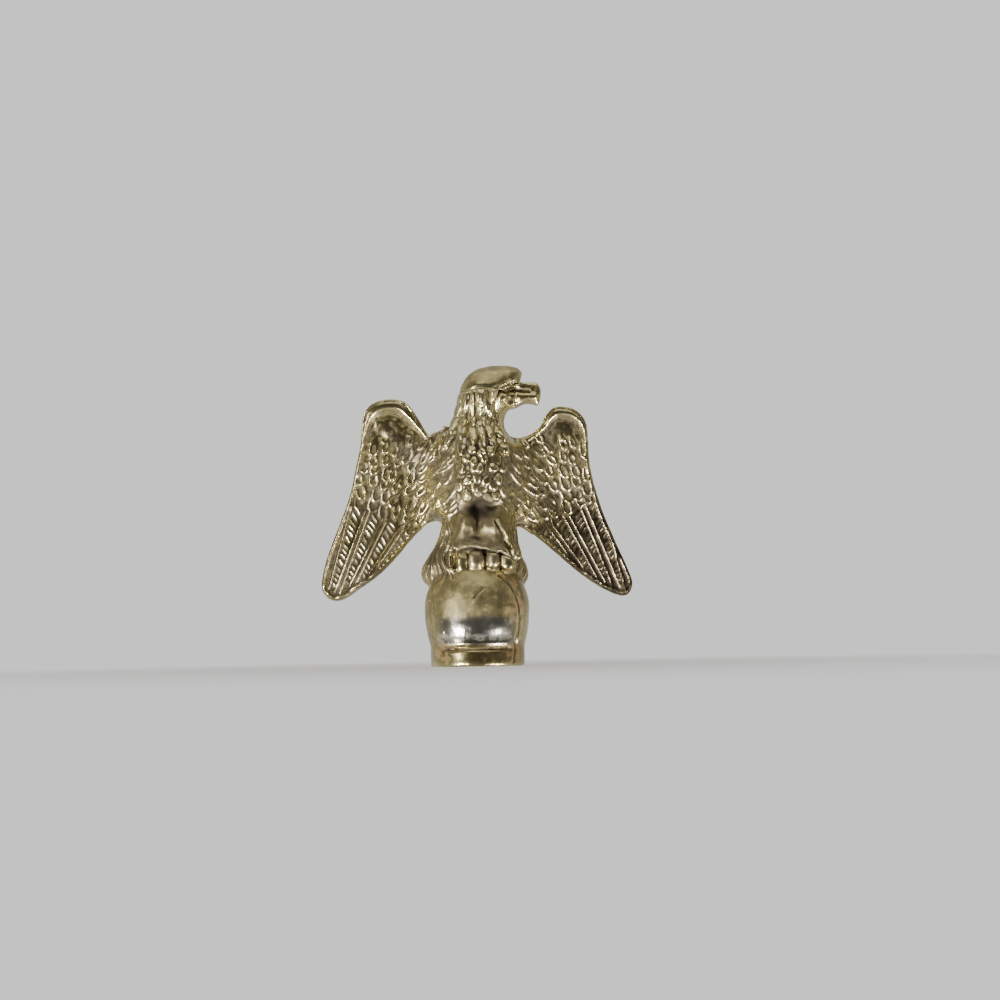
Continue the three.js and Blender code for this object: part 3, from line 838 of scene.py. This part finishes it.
def breastScales():
    across, start = bodyRelief["scaleStart"]
    stepX, stepZ = bodyRelief["scaleStep"]
    scales = []
    for row in range(6):
        count = 5 if row % 2 else 4
        for i in range(count):
            x = across + (i - (count - 1) / 2) * stepX + rng.normal(0, 0.3)
            z = start + row * stepZ + rng.normal(0, 0.34)
            turn = rng.normal(0, 0.45)
            length, width, lift = rng.uniform(0.95, 1.4), rng.uniform(0.65, 0.95), rng.uniform(0.55, 1.35)
            scales.append((x, z, math.sin(turn), -math.cos(turn), length, width, lift))
    return scales


def laneEdges(z):
    return [np.interp(z, *np.transpose(bodyRelief[name])) for name in ("neckLeft", "neckRight")]


def laneSpot(share, z):
    left, right = laneEdges(z)
    return share * (left if share < 0 else right)


def neckLocks():
    locks = []
    lanes = bodyRelief["lockLanes"]
    for lane in range(-lanes, lanes + 1):
        share = lane / lanes
        for k in range(4):
            z = bodyRelief["lockStart"] - bodyRelief["lockStep"] * k - (lane % 2) * 1.4 + rng.normal(0, 0.4)
            x = laneSpot(share, z) + rng.normal(0, 0.08)
            run = laneSpot(share, z - 0.8) - laneSpot(share, z + 0.8)
            size = math.hypot(run, 1.6)
            fade = 0.55 if z < 42.3 else 1.0
            length, width = rng.uniform(2.3, 3.1), rng.uniform(0.78, 1.02)
            locks.append((x, z, run / size, -1.6 / size, length, width, fade * rng.uniform(0.65, 1.2)))
    for x, z in bodyRelief["boldLocks"]:
        locks.append((x, z, 0.12, -0.99, 1.9, 0.86, 1.3))
    return locks


def carveBody(co, normals, height):
    relief = bodyRelief
    x, y, z = co.T
    front = smoothStep(-normals[:, 1], 0.15, 0.5)
    onBreast = front * window(z, (29.6, 30.6), (40.6, 41.6)) * (y < -2.5)
    height += relief["scaleLift"] * featherField(x, z, breastScales(), 0.2) * onBreast

    # locks run from the crown's edge down the neck and end in points on the breast
    capEdge = relief["capEdge"] + 2.7 * smoothStep(x, 2.0, 10.5) + 0.15 * np.sin(x * 1.1)
    onNeck = (1 - smoothStep(z, capEdge - 0.7, capEdge)) * (z > 39) * (x < 8.0) * (np.abs(x) < 8.2)
    onNeck = onNeck * smoothStep(np.abs(normals[:, 1]), 0.05, 0.3)
    locks = featherField(x, z, neckLocks(), 0.12, -0.45)
    left, right = laneEdges(z)
    lane = np.where(x < 0, x / left, x / right)
    streaks = np.sin(lane * 2 * math.pi * 6.5 + 0.5 * np.sin(z * 0.9))
    height += onNeck * (relief["strandLift"] * locks + 0.05 * streaks * (locks > 0.05))
    height -= relief["neckSink"] * onNeck * smoothStep(z, 41.0, 43.5)

    cap = smoothStep(z, capEdge - 0.5, capEdge + 0.6) * (1 - smoothStep(z, 54.6, 56.4))
    height += relief["capLift"] * cap * (1 - smoothStep(x, 8.4, 9.6)) * np.abs(normals[:, 1])

    # hollow under the breast and the groove between the thighs
    hollow = bell(x, 0.5, 2.0) * bell(z, 29.4, 1.0) + 0.4 * bell(x, -0.9, 1.5) * bell(z, 24.0, 0.9)
    fold = np.exp(-((x - 1.9) / 2.9) ** 4) * bell(z, 29.9 + 0.35 * np.sin(x * 1.3), 0.55)
    grooveWidth = 0.55 + 0.28 * np.clip(z - 26, 0, 4)
    groove = bell(x, 0.45, grooveWidth) * window(z, (24.2, 26.5), (29.4, 30.8))
    sunk = relief["hollowDepth"] * hollow + relief["foldDepth"] * fold + relief["grooveDepth"] * groove
    height -= sunk * front * (y < -2)


# skirt of tail and leg feathers

skirtRelief = {
    "middle": (0.4, 1.0),
    "strands": 34,
    "lift": 0.36,
    "fineLift": 0.05,
    "top": (25.5, 29.5),
    "foot": (15.2, 16.6),
}


def carveSkirt(co, height):
    relief = skirtRelief
    x, y, z = co.T
    turn = np.arctan2(x - relief["middle"][0], -(y - relief["middle"][1]))
    lane = turn / (2 * math.pi) * relief["strands"] + 0.35 * np.sin(z * 0.9 + turn * 5)
    ridge = 1 - np.abs(2 * (lane - np.floor(lane)) - 1)
    fine = np.sin(lane * 2 * math.pi * 2.6 + z * 0.7)
    onSkirt = window(z, relief["foot"], relief["top"])
    besideToes = np.where(y < -3, smoothStep(np.abs(x - 1.4), 5.2, 6.2), 1.0)
    nearEnough = (np.abs(x) < 11.2) & (np.hypot(x, y - 0.5) < 12.2)
    clearOfWing = (np.abs(x) < 10.9) | (y < wingPlane(z) - 1.5)
    lift = relief["lift"] * (ridge ** 1.2 - 0.45) + relief["fineLift"] * fine
    height += lift * onSkirt * besideToes * nearEnough * clearOfWing


# relief of the feet, in millimetres

feetRelief = {
    "gapDepth": 0.5,
    "gapWidth": 0.15,
    "gapHeights": ((17.4, 18.2), (20.6, 21.2)),
    "hemDrop": 0.78,
    "hemDepth": 0.34,
    "hemWidth": 0.2,
    # points, lift, width, how far forward it starts
    "toeSlot": ([(-4.0, 21.6), (-3.9, 19.8), (-4.0, 18.2)], -0.7, 0.26, -5.0),
    "legFold": ([(4.2, 27.0), (5.2, 24.9), (6.0, 23.2), (7.3, 20.2)], 0.34, 0.26, -3.0),
    "foldEdge": ([(3.78, 26.8), (4.78, 24.7), (5.58, 23.0), (6.88, 20.0)], -0.4, 0.22, -3.0),
}


def hemHeight(x):
    across, height = np.transpose(feet["hem"])
    return figureZ(np.interp(x, figure(across), height))


def carveFeet(co, height):
    relief = feetRelief
    x, _, z = co.T
    inFront = frontPart(co, -5, 1.7, 8)
    gapShare = window(z, *relief["gapHeights"]) * inFront
    for (a, halfA), (b, halfB) in zip(feet["toes"][:-1], feet["toes"][1:]):
        gap = figure((a + halfA + b - halfB) / 2)
        height -= relief["gapDepth"] * bell(x, gap, relief["gapWidth"]) * gapShare
    under = hemHeight(x) - relief["hemDrop"]
    alongHem = 1 - smoothStep(np.abs(x - 1.6), 5.2, 6.4)
    height -= relief["hemDepth"] * bell(z, under, relief["hemWidth"]) * inFront * alongHem
    for name in ("toeSlot", "legFold", "foldEdge"):
        points, lift, width, front = relief[name]
        height += stroke(x, z, points, lift, width) * frontPart(co, front, 1.7, 8)


# relief of the ball: the crease over the collar, the long cuts at both sides and the nick in front

ballRelief = {
    "creaseEnds": (36, 52),
    # height, lift, width
    "creaseRows": [(3.2, -0.42, 0.33), (4.25, 0.16, 0.42), (5.6, -0.20, 0.9)],
    "rightCut": ([(4.2, 16.6), (6.2, 14.9), (7.55, 12.2), (8.0, 10.0), (7.9, 7.2), (7.25, 4.6), (6.9, 1.6),
                  (6.7, 0.3)], -0.34, 0.18),
    "leftCut": ([(-5.4, 17.2), (-7.6, 14.0), (-8.35, 10.4), (-8.2, 6.6), (-7.3, 3.6)], -0.14, 0.35),
    "nick": ([(1.1, 14.1), (0.3, 13.4), (-0.4, 12.5)], -0.34, 0.2),
    "nickRim": (0.45, 0.1, 0.22),
}


def carveBall(co, height):
    relief = ballRelief
    x, y, z = co.T
    angle = np.degrees(np.arctan2(np.abs(x), -y))
    fade = 1 - smoothStep(angle, *relief["creaseEnds"])
    for middle, lift, width in relief["creaseRows"]:
        height += lift * bell(z, middle, width) * fade
    onBall = (y < 0) & (z < 17.8) & (z > 0.2)
    for name in ("rightCut", "leftCut"):
        points, lift, width = relief[name]
        height += stroke(x, z, roundLine(points, 40, closed=False), lift, width) * onBall
    points, lift, width = relief["nick"]
    rimGap, rimLift, rimWidth = relief["nickRim"]
    gap = lineDistance(x, z, points)
    height += (lift * bell(gap, 0, width) + rimLift * bell(gap, rimGap, rimWidth)) * onBall


# lines on the head: points, lift, width
headLines = {
    "band": ([(6.2, 51.2), (7.6, 51.75), (9.2, 51.7), (10.6, 51.6)], -0.45, 0.3),
    "upperLid": ([(5.3, 52.3), (6.6, 52.95), (8.0, 53.45)], 0.3, 0.24),
    "eyeGap": ([(5.6, 52.0), (7.0, 52.65), (8.5, 53.1)], -0.3, 0.15),
    "lowerLid": ([(6.0, 51.95), (7.2, 52.35), (8.6, 52.75)], 0.3, 0.24),
    "socket": ([(4.3, 51.7), (5.2, 51.4), (6.0, 51.3)], -0.36, 0.34),
}


def carveFace(co, normals, height):
    x, _, z = co.T
    onHead = (np.abs(normals[:, 1]) > 0.25) & (z > 47) & (x > 3) & (x < 13.5)
    for points, lift, width in headLines.values():
        height += stroke(x, z, roundLine(points, 20, closed=False), lift, width) * onHead


# cast surface: size of the lumps in millimetres, seed, lift
castLumps = {
    "broad": (1.6, 1, 0.05),
    "fine": (0.7, 2, 0.03),
    "thighs": (1.5, 3, 0.3),
    "breast": (0.9, 4, 0.1),
}


def carveLumps(co, normals, height):
    z = co[:, 2]
    where = {
        "broad": z > 0.6,
        "fine": z > 0.6,
        "thighs": window(z, (21.0, 22.5), (28.5, 30.0)) * frontPart(co, -3, 1, 7),
        "breast": (z > 30) & (z < 47) & (normals[:, 1] < -0.4),
    }
    for name, (size, seed, lift) in castLumps.items():
        height += lift * lumps(co, size, seed) * where[name]


def carve(body):
    co, edges = readSkin(body)
    co = relax(co, edges, np.full(len(co), 0.6), 2)
    writeSkin(body, co)
    normals = skinNormals(body)
    height = np.zeros(len(co))
    for sideName in ("left", "right"):
        carveWing(co, normals, sideName, height)
    carveBody(co, normals, height)
    carveSkirt(co, height)
    carveFeet(co, height)
    carveBall(co, height)
    carveFace(co, normals, height)
    carveLumps(co, normals, height)
    turned = 1 - smoothStep(np.abs(normals[:, 1]), 0.4, 0.75)
    turned = turned * (co[:, 2] > skin["carvedFrom"])
    keepFlat = smoothStep(co[:, 2], 0.05, 0.5)
    co = co + normals * (height * keepFlat)[:, None]
    co = relax(co, edges, 0.35 + 0.5 * turned, 2)
    co[:, 2] = np.maximum(co[:, 2], 0)
    writeSkin(body, co)
    print("carved")


# attributes for the dirt in the hollows, also carrying the painted shade under wings and hem and, where
# hollowFine is low, the painted highlight on raised parts: rounds of smoothing, depth in millimetres that
# counts as full
hollows = {"hollowFine": (6, 0.075), "hollowWideAndShade": (60, 0.45)}


# painted shade: darkens the downward faces under the wings and a band just below the hem
def shadeUnderWingsAndHem(co, normals):
    x, _, z = co.T
    under = smoothStep(-normals[:, 2], 0.3, 0.75) * (np.abs(x) > 8) * (z > skin["carvedFrom"])
    belowHem = bell(z, hemHeight(x) - 0.8, 0.4) * frontPart(co, -5, 1.6, 7)
    return 0.75 * under + 0.9 * belowHem


def markHollows(body):
    co, edges = readSkin(body)
    normals = skinNormals(body)
    smooth = co
    reached = 0
    for name, (rounds, full) in hollows.items():
        smooth = relax(smooth, edges, np.ones(len(co)), rounds - reached)
        reached = rounds
        depth = ((smooth - co) * normals).sum(axis=1) / full
        depth *= smoothStep(np.abs(normals[:, 1]), 0.15, 0.45)
        # the broad hollows also take the painted shade under wings and hem
        if name == "hollowWideAndShade":
            depth += shadeUnderWingsAndHem(co, normals)
        layer = body.data.attributes.new(name, "FLOAT", "POINT")
        layer.data.foreach_set("value", np.clip(0.5 + 0.5 * depth, 0, 1))
    print("hollows marked")


# flat stretches carry fewer triangles than the carving does
def thinFlats(body):
    shapeWith(body, "DECIMATE", ratio=skin["triangles"] / triangleCount(body))
    print("thinned, triangles:", triangleCount(body))


carve(finial)
markHollows(finial)
thinFlats(finial)

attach(finial, "root")
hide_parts("eagle_finial")

# finish

plating = {
    # bright: clean metal, also used for the painted highlight on raised parts and the painted sheen on the
    # neck
    "bright": (0.93, 0.81, 0.41),
    "worn": (0.47, 0.38, 0.15),
    "mauve": (0.27, 0.215, 0.14),
    # brown: dirt, and the painted shade and painted shadow
    "brown": (0.05, 0.036, 0.024),
    # dull tone: painted shade on the wing tips, and the duller thighs and skirt
    "dullAndShade": (0.12, 0.092, 0.056),
    "rust": (0.22, 0.085, 0.03),
    "silver": (0.60, 0.565, 0.48),
    "olive": (0.36, 0.305, 0.15),
    "fleck": (0.78, 0.64, 0.27),
    "collar": (0.36, 0.27, 0.11),
}

# middle and reach of each zone and stain, millimetres
zones = {
    "breast": ((1.0, -7.0, 35.5), 8.0),
    # neck: painted sheen, a lighter tone and less dirt
    "neck": ((0.6, -5.0, 47.0), 8.0),
    # belly: a painted shadow under the breast
    "belly": ((0.9, -4.6, 29.4), 4.6),
    "thighs": ((1.0, -7.0, 25.0), 8.5),
    "skirt": ((-7.6, -4.0, 20.0), 5.5),
}
stainPlaces = [
    ((5.0, -4.8, 50.8), 2.2), ((7.4, -6.4, 10.5), 4.2), ((-6.4, -6.2, 3.2), 3.6),
    ((6.6, -6.4, 15.8), 3.0), ((-7.5, -5.0, 17.2), 3.2), ((6.8, -5.5, 2.4), 2.6)]


def setInputs(node, settings):
    for name, value in settings.items():
        node.inputs[name].default_value = value


class Board:
    def __init__(self, owner):
        owner.use_nodes = True
        self.nodes = owner.node_tree.nodes
        self.links = owner.node_tree.links

    def add(self, kind, **settings):
        node = self.nodes.new(kind)
        for key, value in settings.items():
            setattr(node, key, value)
        return node

    def wire(self, source, target):
        self.links.new(source, target)

    def grain(self, place, scale, detail=3.0, rough=0.55, stretch=None):
        if stretch:
            bend = self.add("ShaderNodeMapping")
            setInputs(bend, {"Scale": stretch})
            self.wire(place, bend.inputs["Vector"])
            place = bend.outputs["Vector"]
        node = self.add("ShaderNodeTexNoise")
        setInputs(node, {"Scale": scale, "Detail": detail, "Roughness": rough})
        self.wire(place, node.inputs["Vector"])
        return node.outputs["Fac"]

    def ramp(self, source, low, high, outLow=0.0, outHigh=1.0):
        node = self.add("ShaderNodeMapRange", interpolation_type="SMOOTHSTEP", clamp=True)
        setInputs(node, {"From Min": low, "From Max": high, "To Min": outLow, "To Max": outHigh})
        self.wire(source, node.inputs["Value"])
        return node.outputs["Result"]

    def math(self, operation, *values):
        node = self.add("ShaderNodeMath", operation=operation, use_clamp=False)
        for socket, value in zip(node.inputs, values):
            if isinstance(value, (int, float)):
                socket.default_value = value
            else:
                self.wire(value, socket)
        return node.outputs[0]

    def times(self, a, b):
        return self.math("MULTIPLY", a, b)

    def plus(self, a, b):
        return self.math("ADD", a, b)

    def most(self, a, b):
        return self.math("MAXIMUM", a, b)

    def mix(self, share, first, second):
        node = self.add("ShaderNodeMix", data_type="RGBA")
        self.wire(share, node.inputs[0])
        for socket, value in ((node.inputs[6], first), (node.inputs[7], second)):
            if isinstance(value, tuple):
                socket.default_value = (*value, 1)
            else:
                self.wire(value, socket)
        return node.outputs[2]

    def near(self, place, at, reach):
        node = self.add("ShaderNodeVectorMath", operation="DISTANCE")
        self.wire(place, node.inputs[0])
        node.inputs[1].default_value = [c * mm for c in at]
        return self.ramp(node.outputs["Value"], reach * mm, reach * 0.35 * mm)

    # across, depth and height in millimetres
    def axes(self, place):
        split = self.add("ShaderNodeSeparateXYZ")
        self.wire(place, split.inputs[0])
        return [self.times(axis, 1 / mm) for axis in split.outputs]


# dirt in the hollows, thicker on the breast, with the painted shade under wings and hem and a painted
# shadow in the hollow under the breast
def findGrimeAndShade(board, fine, spots, near):
    wide = board.add("ShaderNodeAttribute", attribute_name="hollowWideAndShade").outputs["Fac"]
    hollow = board.most(board.ramp(fine, 0.49, 0.7), board.times(board.ramp(wide, 0.5, 0.8), 0.8))
    hollow = board.times(hollow, board.ramp(near["breast"], 0.0, 1.0, 1.0, 1.7))
    # less dirt on the neck, part of the painted sheen there
    hollow = board.times(hollow, board.ramp(near["neck"], 0.0, 1.0, 1.0, 0.8))
    grimeAndShade = board.times(hollow, board.ramp(spots, 0.3, 0.7, 0.55, 1.15))
    speck = board.times(board.ramp(spots, 0.6, 0.72), 0.35)
    # painted shadow: the belly zone under the breast is filled with the dark brown
    return board.most(board.math("MINIMUM", board.plus(grimeAndShade, speck), 1.0), near["belly"])


# the ball's olive top with the crown, its bare metal below, and the collar
def findBallZones(board, place, patches):
    x, y, z = board.axes(place)
    onBall = board.times(board.ramp(z, 18.5, 16.5), board.ramp(y, 0.0, -4.0))
    crown = board.times(board.ramp(z, 52.2, 53.8), board.ramp(x, 10.5, 8.5))
    upper = board.most(board.times(onBall, board.ramp(z, 8.2, 10.4)), crown)
    upper = board.times(upper, board.ramp(patches, 0.3, 0.6, 0.6, 1.0))
    lower = board.times(onBall, board.times(board.ramp(z, 9.6, 8.0), board.ramp(z, 3.6, 4.8)))
    lower = board.times(lower, board.ramp(board.math("ABSOLUTE", x), 8.5, 4.5))
    collar = board.times(board.ramp(z, 4.6, 3.0), board.ramp(patches, 0.35, 0.6, 0.3, 1.0))
    return upper, lower, collar


# painted shade darkens the wing tips, the right wing's tip most; thighs and skirt are duller and darker
def findDullAndShade(board, place, spots, near):
    x, _, z = board.axes(place)
    wingTips = board.times(board.ramp(board.math("ABSOLUTE", x), 11.0, 20.0), board.ramp(z, 36.0, 26.0))
    wingTips = board.times(wingTips, board.ramp(x, -12.0, 12.0, 0.65, 1.5))
    low = board.most(board.times(near["thighs"], 0.9), board.times(near["skirt"], 0.8))
    return board.times(board.most(wingTips, low), board.ramp(spots, 0.25, 0.6, 0.45, 0.9))


def findStains(board, place, spots):
    stains = 0.0
    for at, reach in stainPlaces:
        stains = board.most(board.near(place, at, reach), stains)
    return board.times(stains, board.ramp(spots, 0.4, 0.62))


def pitNormals(board, place):
    relief = board.times(board.grain(place, 1400, 3, 0.6), 0.6)
    relief = board.plus(relief, board.times(board.grain(place, 2600, 2), 0.25))
    relief = board.plus(relief, board.times(board.grain(place, 900, 2, 0.5, (6.0, 1.0, 0.6)), 0.25))
    bump = board.add("ShaderNodeBump")
    setInputs(bump, {"Strength": 0.55, "Distance": 0.06 * mm})
    board.wire(relief, bump.inputs["Height"])
    return bump.outputs["Normal"]


def makePlating():
    material = bpy.data.materials.new("wornPlate")
    board = Board(material)
    shader = board.nodes["Principled BSDF"]
    place = board.add("ShaderNodeTexCoord").outputs["Object"]
    fine = board.add("ShaderNodeAttribute", attribute_name="hollowFine").outputs["Fac"]
    patches = board.grain(place, 160, 4)
    spots = board.grain(place, 620, 4, 0.6)
    near = {name: board.near(place, at, reach) for name, (at, reach) in zones.items()}
    grimeAndShade = findGrimeAndShade(board, fine, spots, near)
    upper, lower, collar = findBallZones(board, place, patches)
    dullAndShade = findDullAndShade(board, place, spots, near)
    stains = findStains(board, place, spots)
    layers = [
        # raised parts take the bright tone: rubbed metal and a painted highlight
        ("bright", board.ramp(fine, 0.47, 0.24), 1.0),
        ("bright", board.ramp(spots, 0.35, 0.6, 0.3, 0.85), 0.35),
        # painted sheen: the neck is lightened towards the bright tone
        ("bright", near["neck"], 0.55),
        ("olive", upper, 0.85),
        ("fleck", board.times(upper, board.ramp(spots, 0.5, 0.62)), 0.6),
        ("collar", collar, 0.8),
        ("silver", lower, 0.9),
        # painted shade on the wing tips, dull tone on thighs and skirt
        ("dullAndShade", dullAndShade, 0.8),
        ("rust", stains, 0.75),
        # dark brown: dirt in the hollows, painted shade under wings and hem, painted shadow under the
        # breast
        ("brown", grimeAndShade, 0.96),
    ]
    tone = board.mix(board.ramp(patches, 0.42, 0.6), plating["worn"], plating["mauve"])
    for name, share, strength in layers:
        tone = board.mix(board.times(share, strength), tone, plating[name])
    board.wire(tone, shader.inputs["Base Color"])

    rough = board.ramp(patches, 0.3, 0.7, 0.19, 0.32)
    roughened = [(grimeAndShade, 0.3), (upper, 0.2), (lower, -0.08), (stains, 0.2), (near["thighs"], 0.216)]
    for share, amount in roughened:
        rough = board.plus(rough, board.times(share, amount))
    board.wire(board.most(rough, 0.16), shader.inputs["Roughness"])
    metal = board.math("SUBTRACT", 1.0, board.times(board.most(grimeAndShade, stains), 0.7))
    board.wire(metal, shader.inputs["Metallic"])
    gloss = board.math("SUBTRACT", 0.5, board.times(grimeAndShade, 0.35))
    board.wire(gloss, shader.inputs["Specular IOR Level"])
    board.wire(pitNormals(board, place), shader.inputs["Normal"])
    return material


finial.data.materials.clear()
finial.data.materials.append(makePlating())
print("plating made")

# stage, light and camera

# eye in millimetres, angles in degrees
view = {"eye": (4.696, -283.0, 3.0), "pitch": 5.699, "roll": 1.05, "lens": 54, "sensor": 36}
stage = {
    "paleTone": (0.95, 0.935, 0.925),
    "floorTone": (0.93, 0.92, 0.91),
    "floorSize": 4,
    "floorRough": 0.8,
    "floorGlow": 0.2,
    "fadeFrom": 0.03,
    "fadeTo": 0.18,
    # what the metal reflects, from behind the camera to beyond the finial
    "roomTones": [(0.0, 0.06), (0.2, 0.085), (0.42, 0.155), (0.6, 0.4), (1.0, 0.6)],
    "roomTint": (1.0, 0.985, 0.96),
}
# direction, size in metres, power in watts
lamps = {
    "lowLeft": ((-0.61, -0.60, -0.52), 0.14, 5.2),
    "leftSide": ((-0.74, -0.66, 0.1), 0.12, 0.9),
    "lowRight": ((0.62, -0.39, -0.68), 0.13, 4.0),
    "overhead": ((0.05, -0.25, 0.95), 0.7, 1.4),
}
lampDistance = 0.6
lampAim = (0, 0, 0.028)


def makeCamera():
    eye = bpy.data.objects.new("photoView", bpy.data.cameras.new("photoView"))
    bpy.context.collection.objects.link(eye)
    tilt = Matrix.Rotation(math.radians(90 + view["pitch"]), 4, "X")
    roll = Matrix.Rotation(math.radians(-view["roll"]), 4, "Z")
    eye.matrix_world = Matrix.Translation(Vector(view["eye"]) * mm) @ tilt @ roll
    eye.data.lens = view["lens"]
    eye.data.sensor_width = view["sensor"]
    eye.data.clip_start = 0.005
    bpy.context.scene.camera = eye


def makeFloor():
    pickNothing()
    bpy.ops.mesh.primitive_plane_add(size=stage["floorSize"], location=(0, 0, 0))
    floor = newestObject("floor")
    material = bpy.data.materials.new("paleFloor")
    board = Board(material)
    shader = board.nodes["Principled BSDF"]
    tone = (*stage["floorTone"], 1)
    setInputs(shader, {
        "Base Color": tone, "Roughness": stage["floorRough"],
        "Emission Color": tone, "Emission Strength": stage["floorGlow"]})
    reach = board.add("ShaderNodeVectorMath", operation="LENGTH")
    board.wire(board.add("ShaderNodeTexCoord").outputs["Object"], reach.inputs[0])
    fade = board.ramp(reach.outputs["Value"], stage["fadeFrom"], stage["fadeTo"])
    clear = board.add("ShaderNodeBsdfTransparent")
    blend = board.add("ShaderNodeMixShader")
    for source, socket in zip((fade, shader.outputs[0], clear.outputs[0]), blend.inputs):
        board.wire(source, socket)
    board.wire(blend.outputs[0], board.nodes["Material Output"].inputs["Surface"])
    floor.data.materials.append(material)
    floor.visible_shadow = False
    floor.visible_glossy = False


# a pale room for the camera, and a darker one for the metal to reflect
def makeRoom():
    world = bpy.data.worlds.new("room")
    bpy.context.scene.world = world
    board = Board(world)
    seen = board.nodes["Background"]
    setInputs(seen, {"Color": (*stage["paleTone"], 1), "Strength": 1.0})
    toward = board.add("ShaderNodeTexCoord").outputs["Generated"]
    split = board.add("ShaderNodeSeparateXYZ")
    board.wire(toward, split.inputs[0])
    remap = board.add("ShaderNodeMapRange")
    setInputs(remap, {"From Min": -1, "From Max": 1})
    board.wire(split.outputs["Y"], remap.inputs["Value"])
    depth = board.add("ShaderNodeValToRGB")
    board.wire(remap.outputs["Result"], depth.inputs[0])
    reflected = board.add("ShaderNodeBackground")
    board.wire(depth.outputs["Color"], reflected.inputs["Color"])
    toCamera = board.add("ShaderNodeLightPath").outputs["Is Camera Ray"]
    choose = board.add("ShaderNodeMixShader")
    for source, socket in zip((toCamera, reflected.outputs[0], seen.outputs[0]), choose.inputs):
        board.wire(source, socket)
    board.wire(choose.outputs[0], board.nodes["World Output"].inputs["Surface"])
    while len(depth.color_ramp.elements) < len(stage["roomTones"]):
        depth.color_ramp.elements.new(0.5)
    for element, (at, tone) in zip(depth.color_ramp.elements, stage["roomTones"]):
        element.position = at
        element.color = (*[tone * tint for tint in stage["roomTint"]], 1)


def makeLamps():
    middle = Vector(lampAim)
    for name, (toward, size, power) in lamps.items():
        lamp = bpy.data.lights.new(name, "AREA")
        lamp.size = size
        lamp.energy = power
        holder = bpy.data.objects.new(name, lamp)
        bpy.context.collection.objects.link(holder)
        spot = middle + Vector(toward).normalized() * lampDistance
        holder.location = spot
        holder.rotation_euler = (middle - spot).to_track_quat("-Z", "Y").to_euler()
        holder.visible_camera = False


makeCamera()
makeFloor()
makeRoom()
makeLamps()
print("stage set")
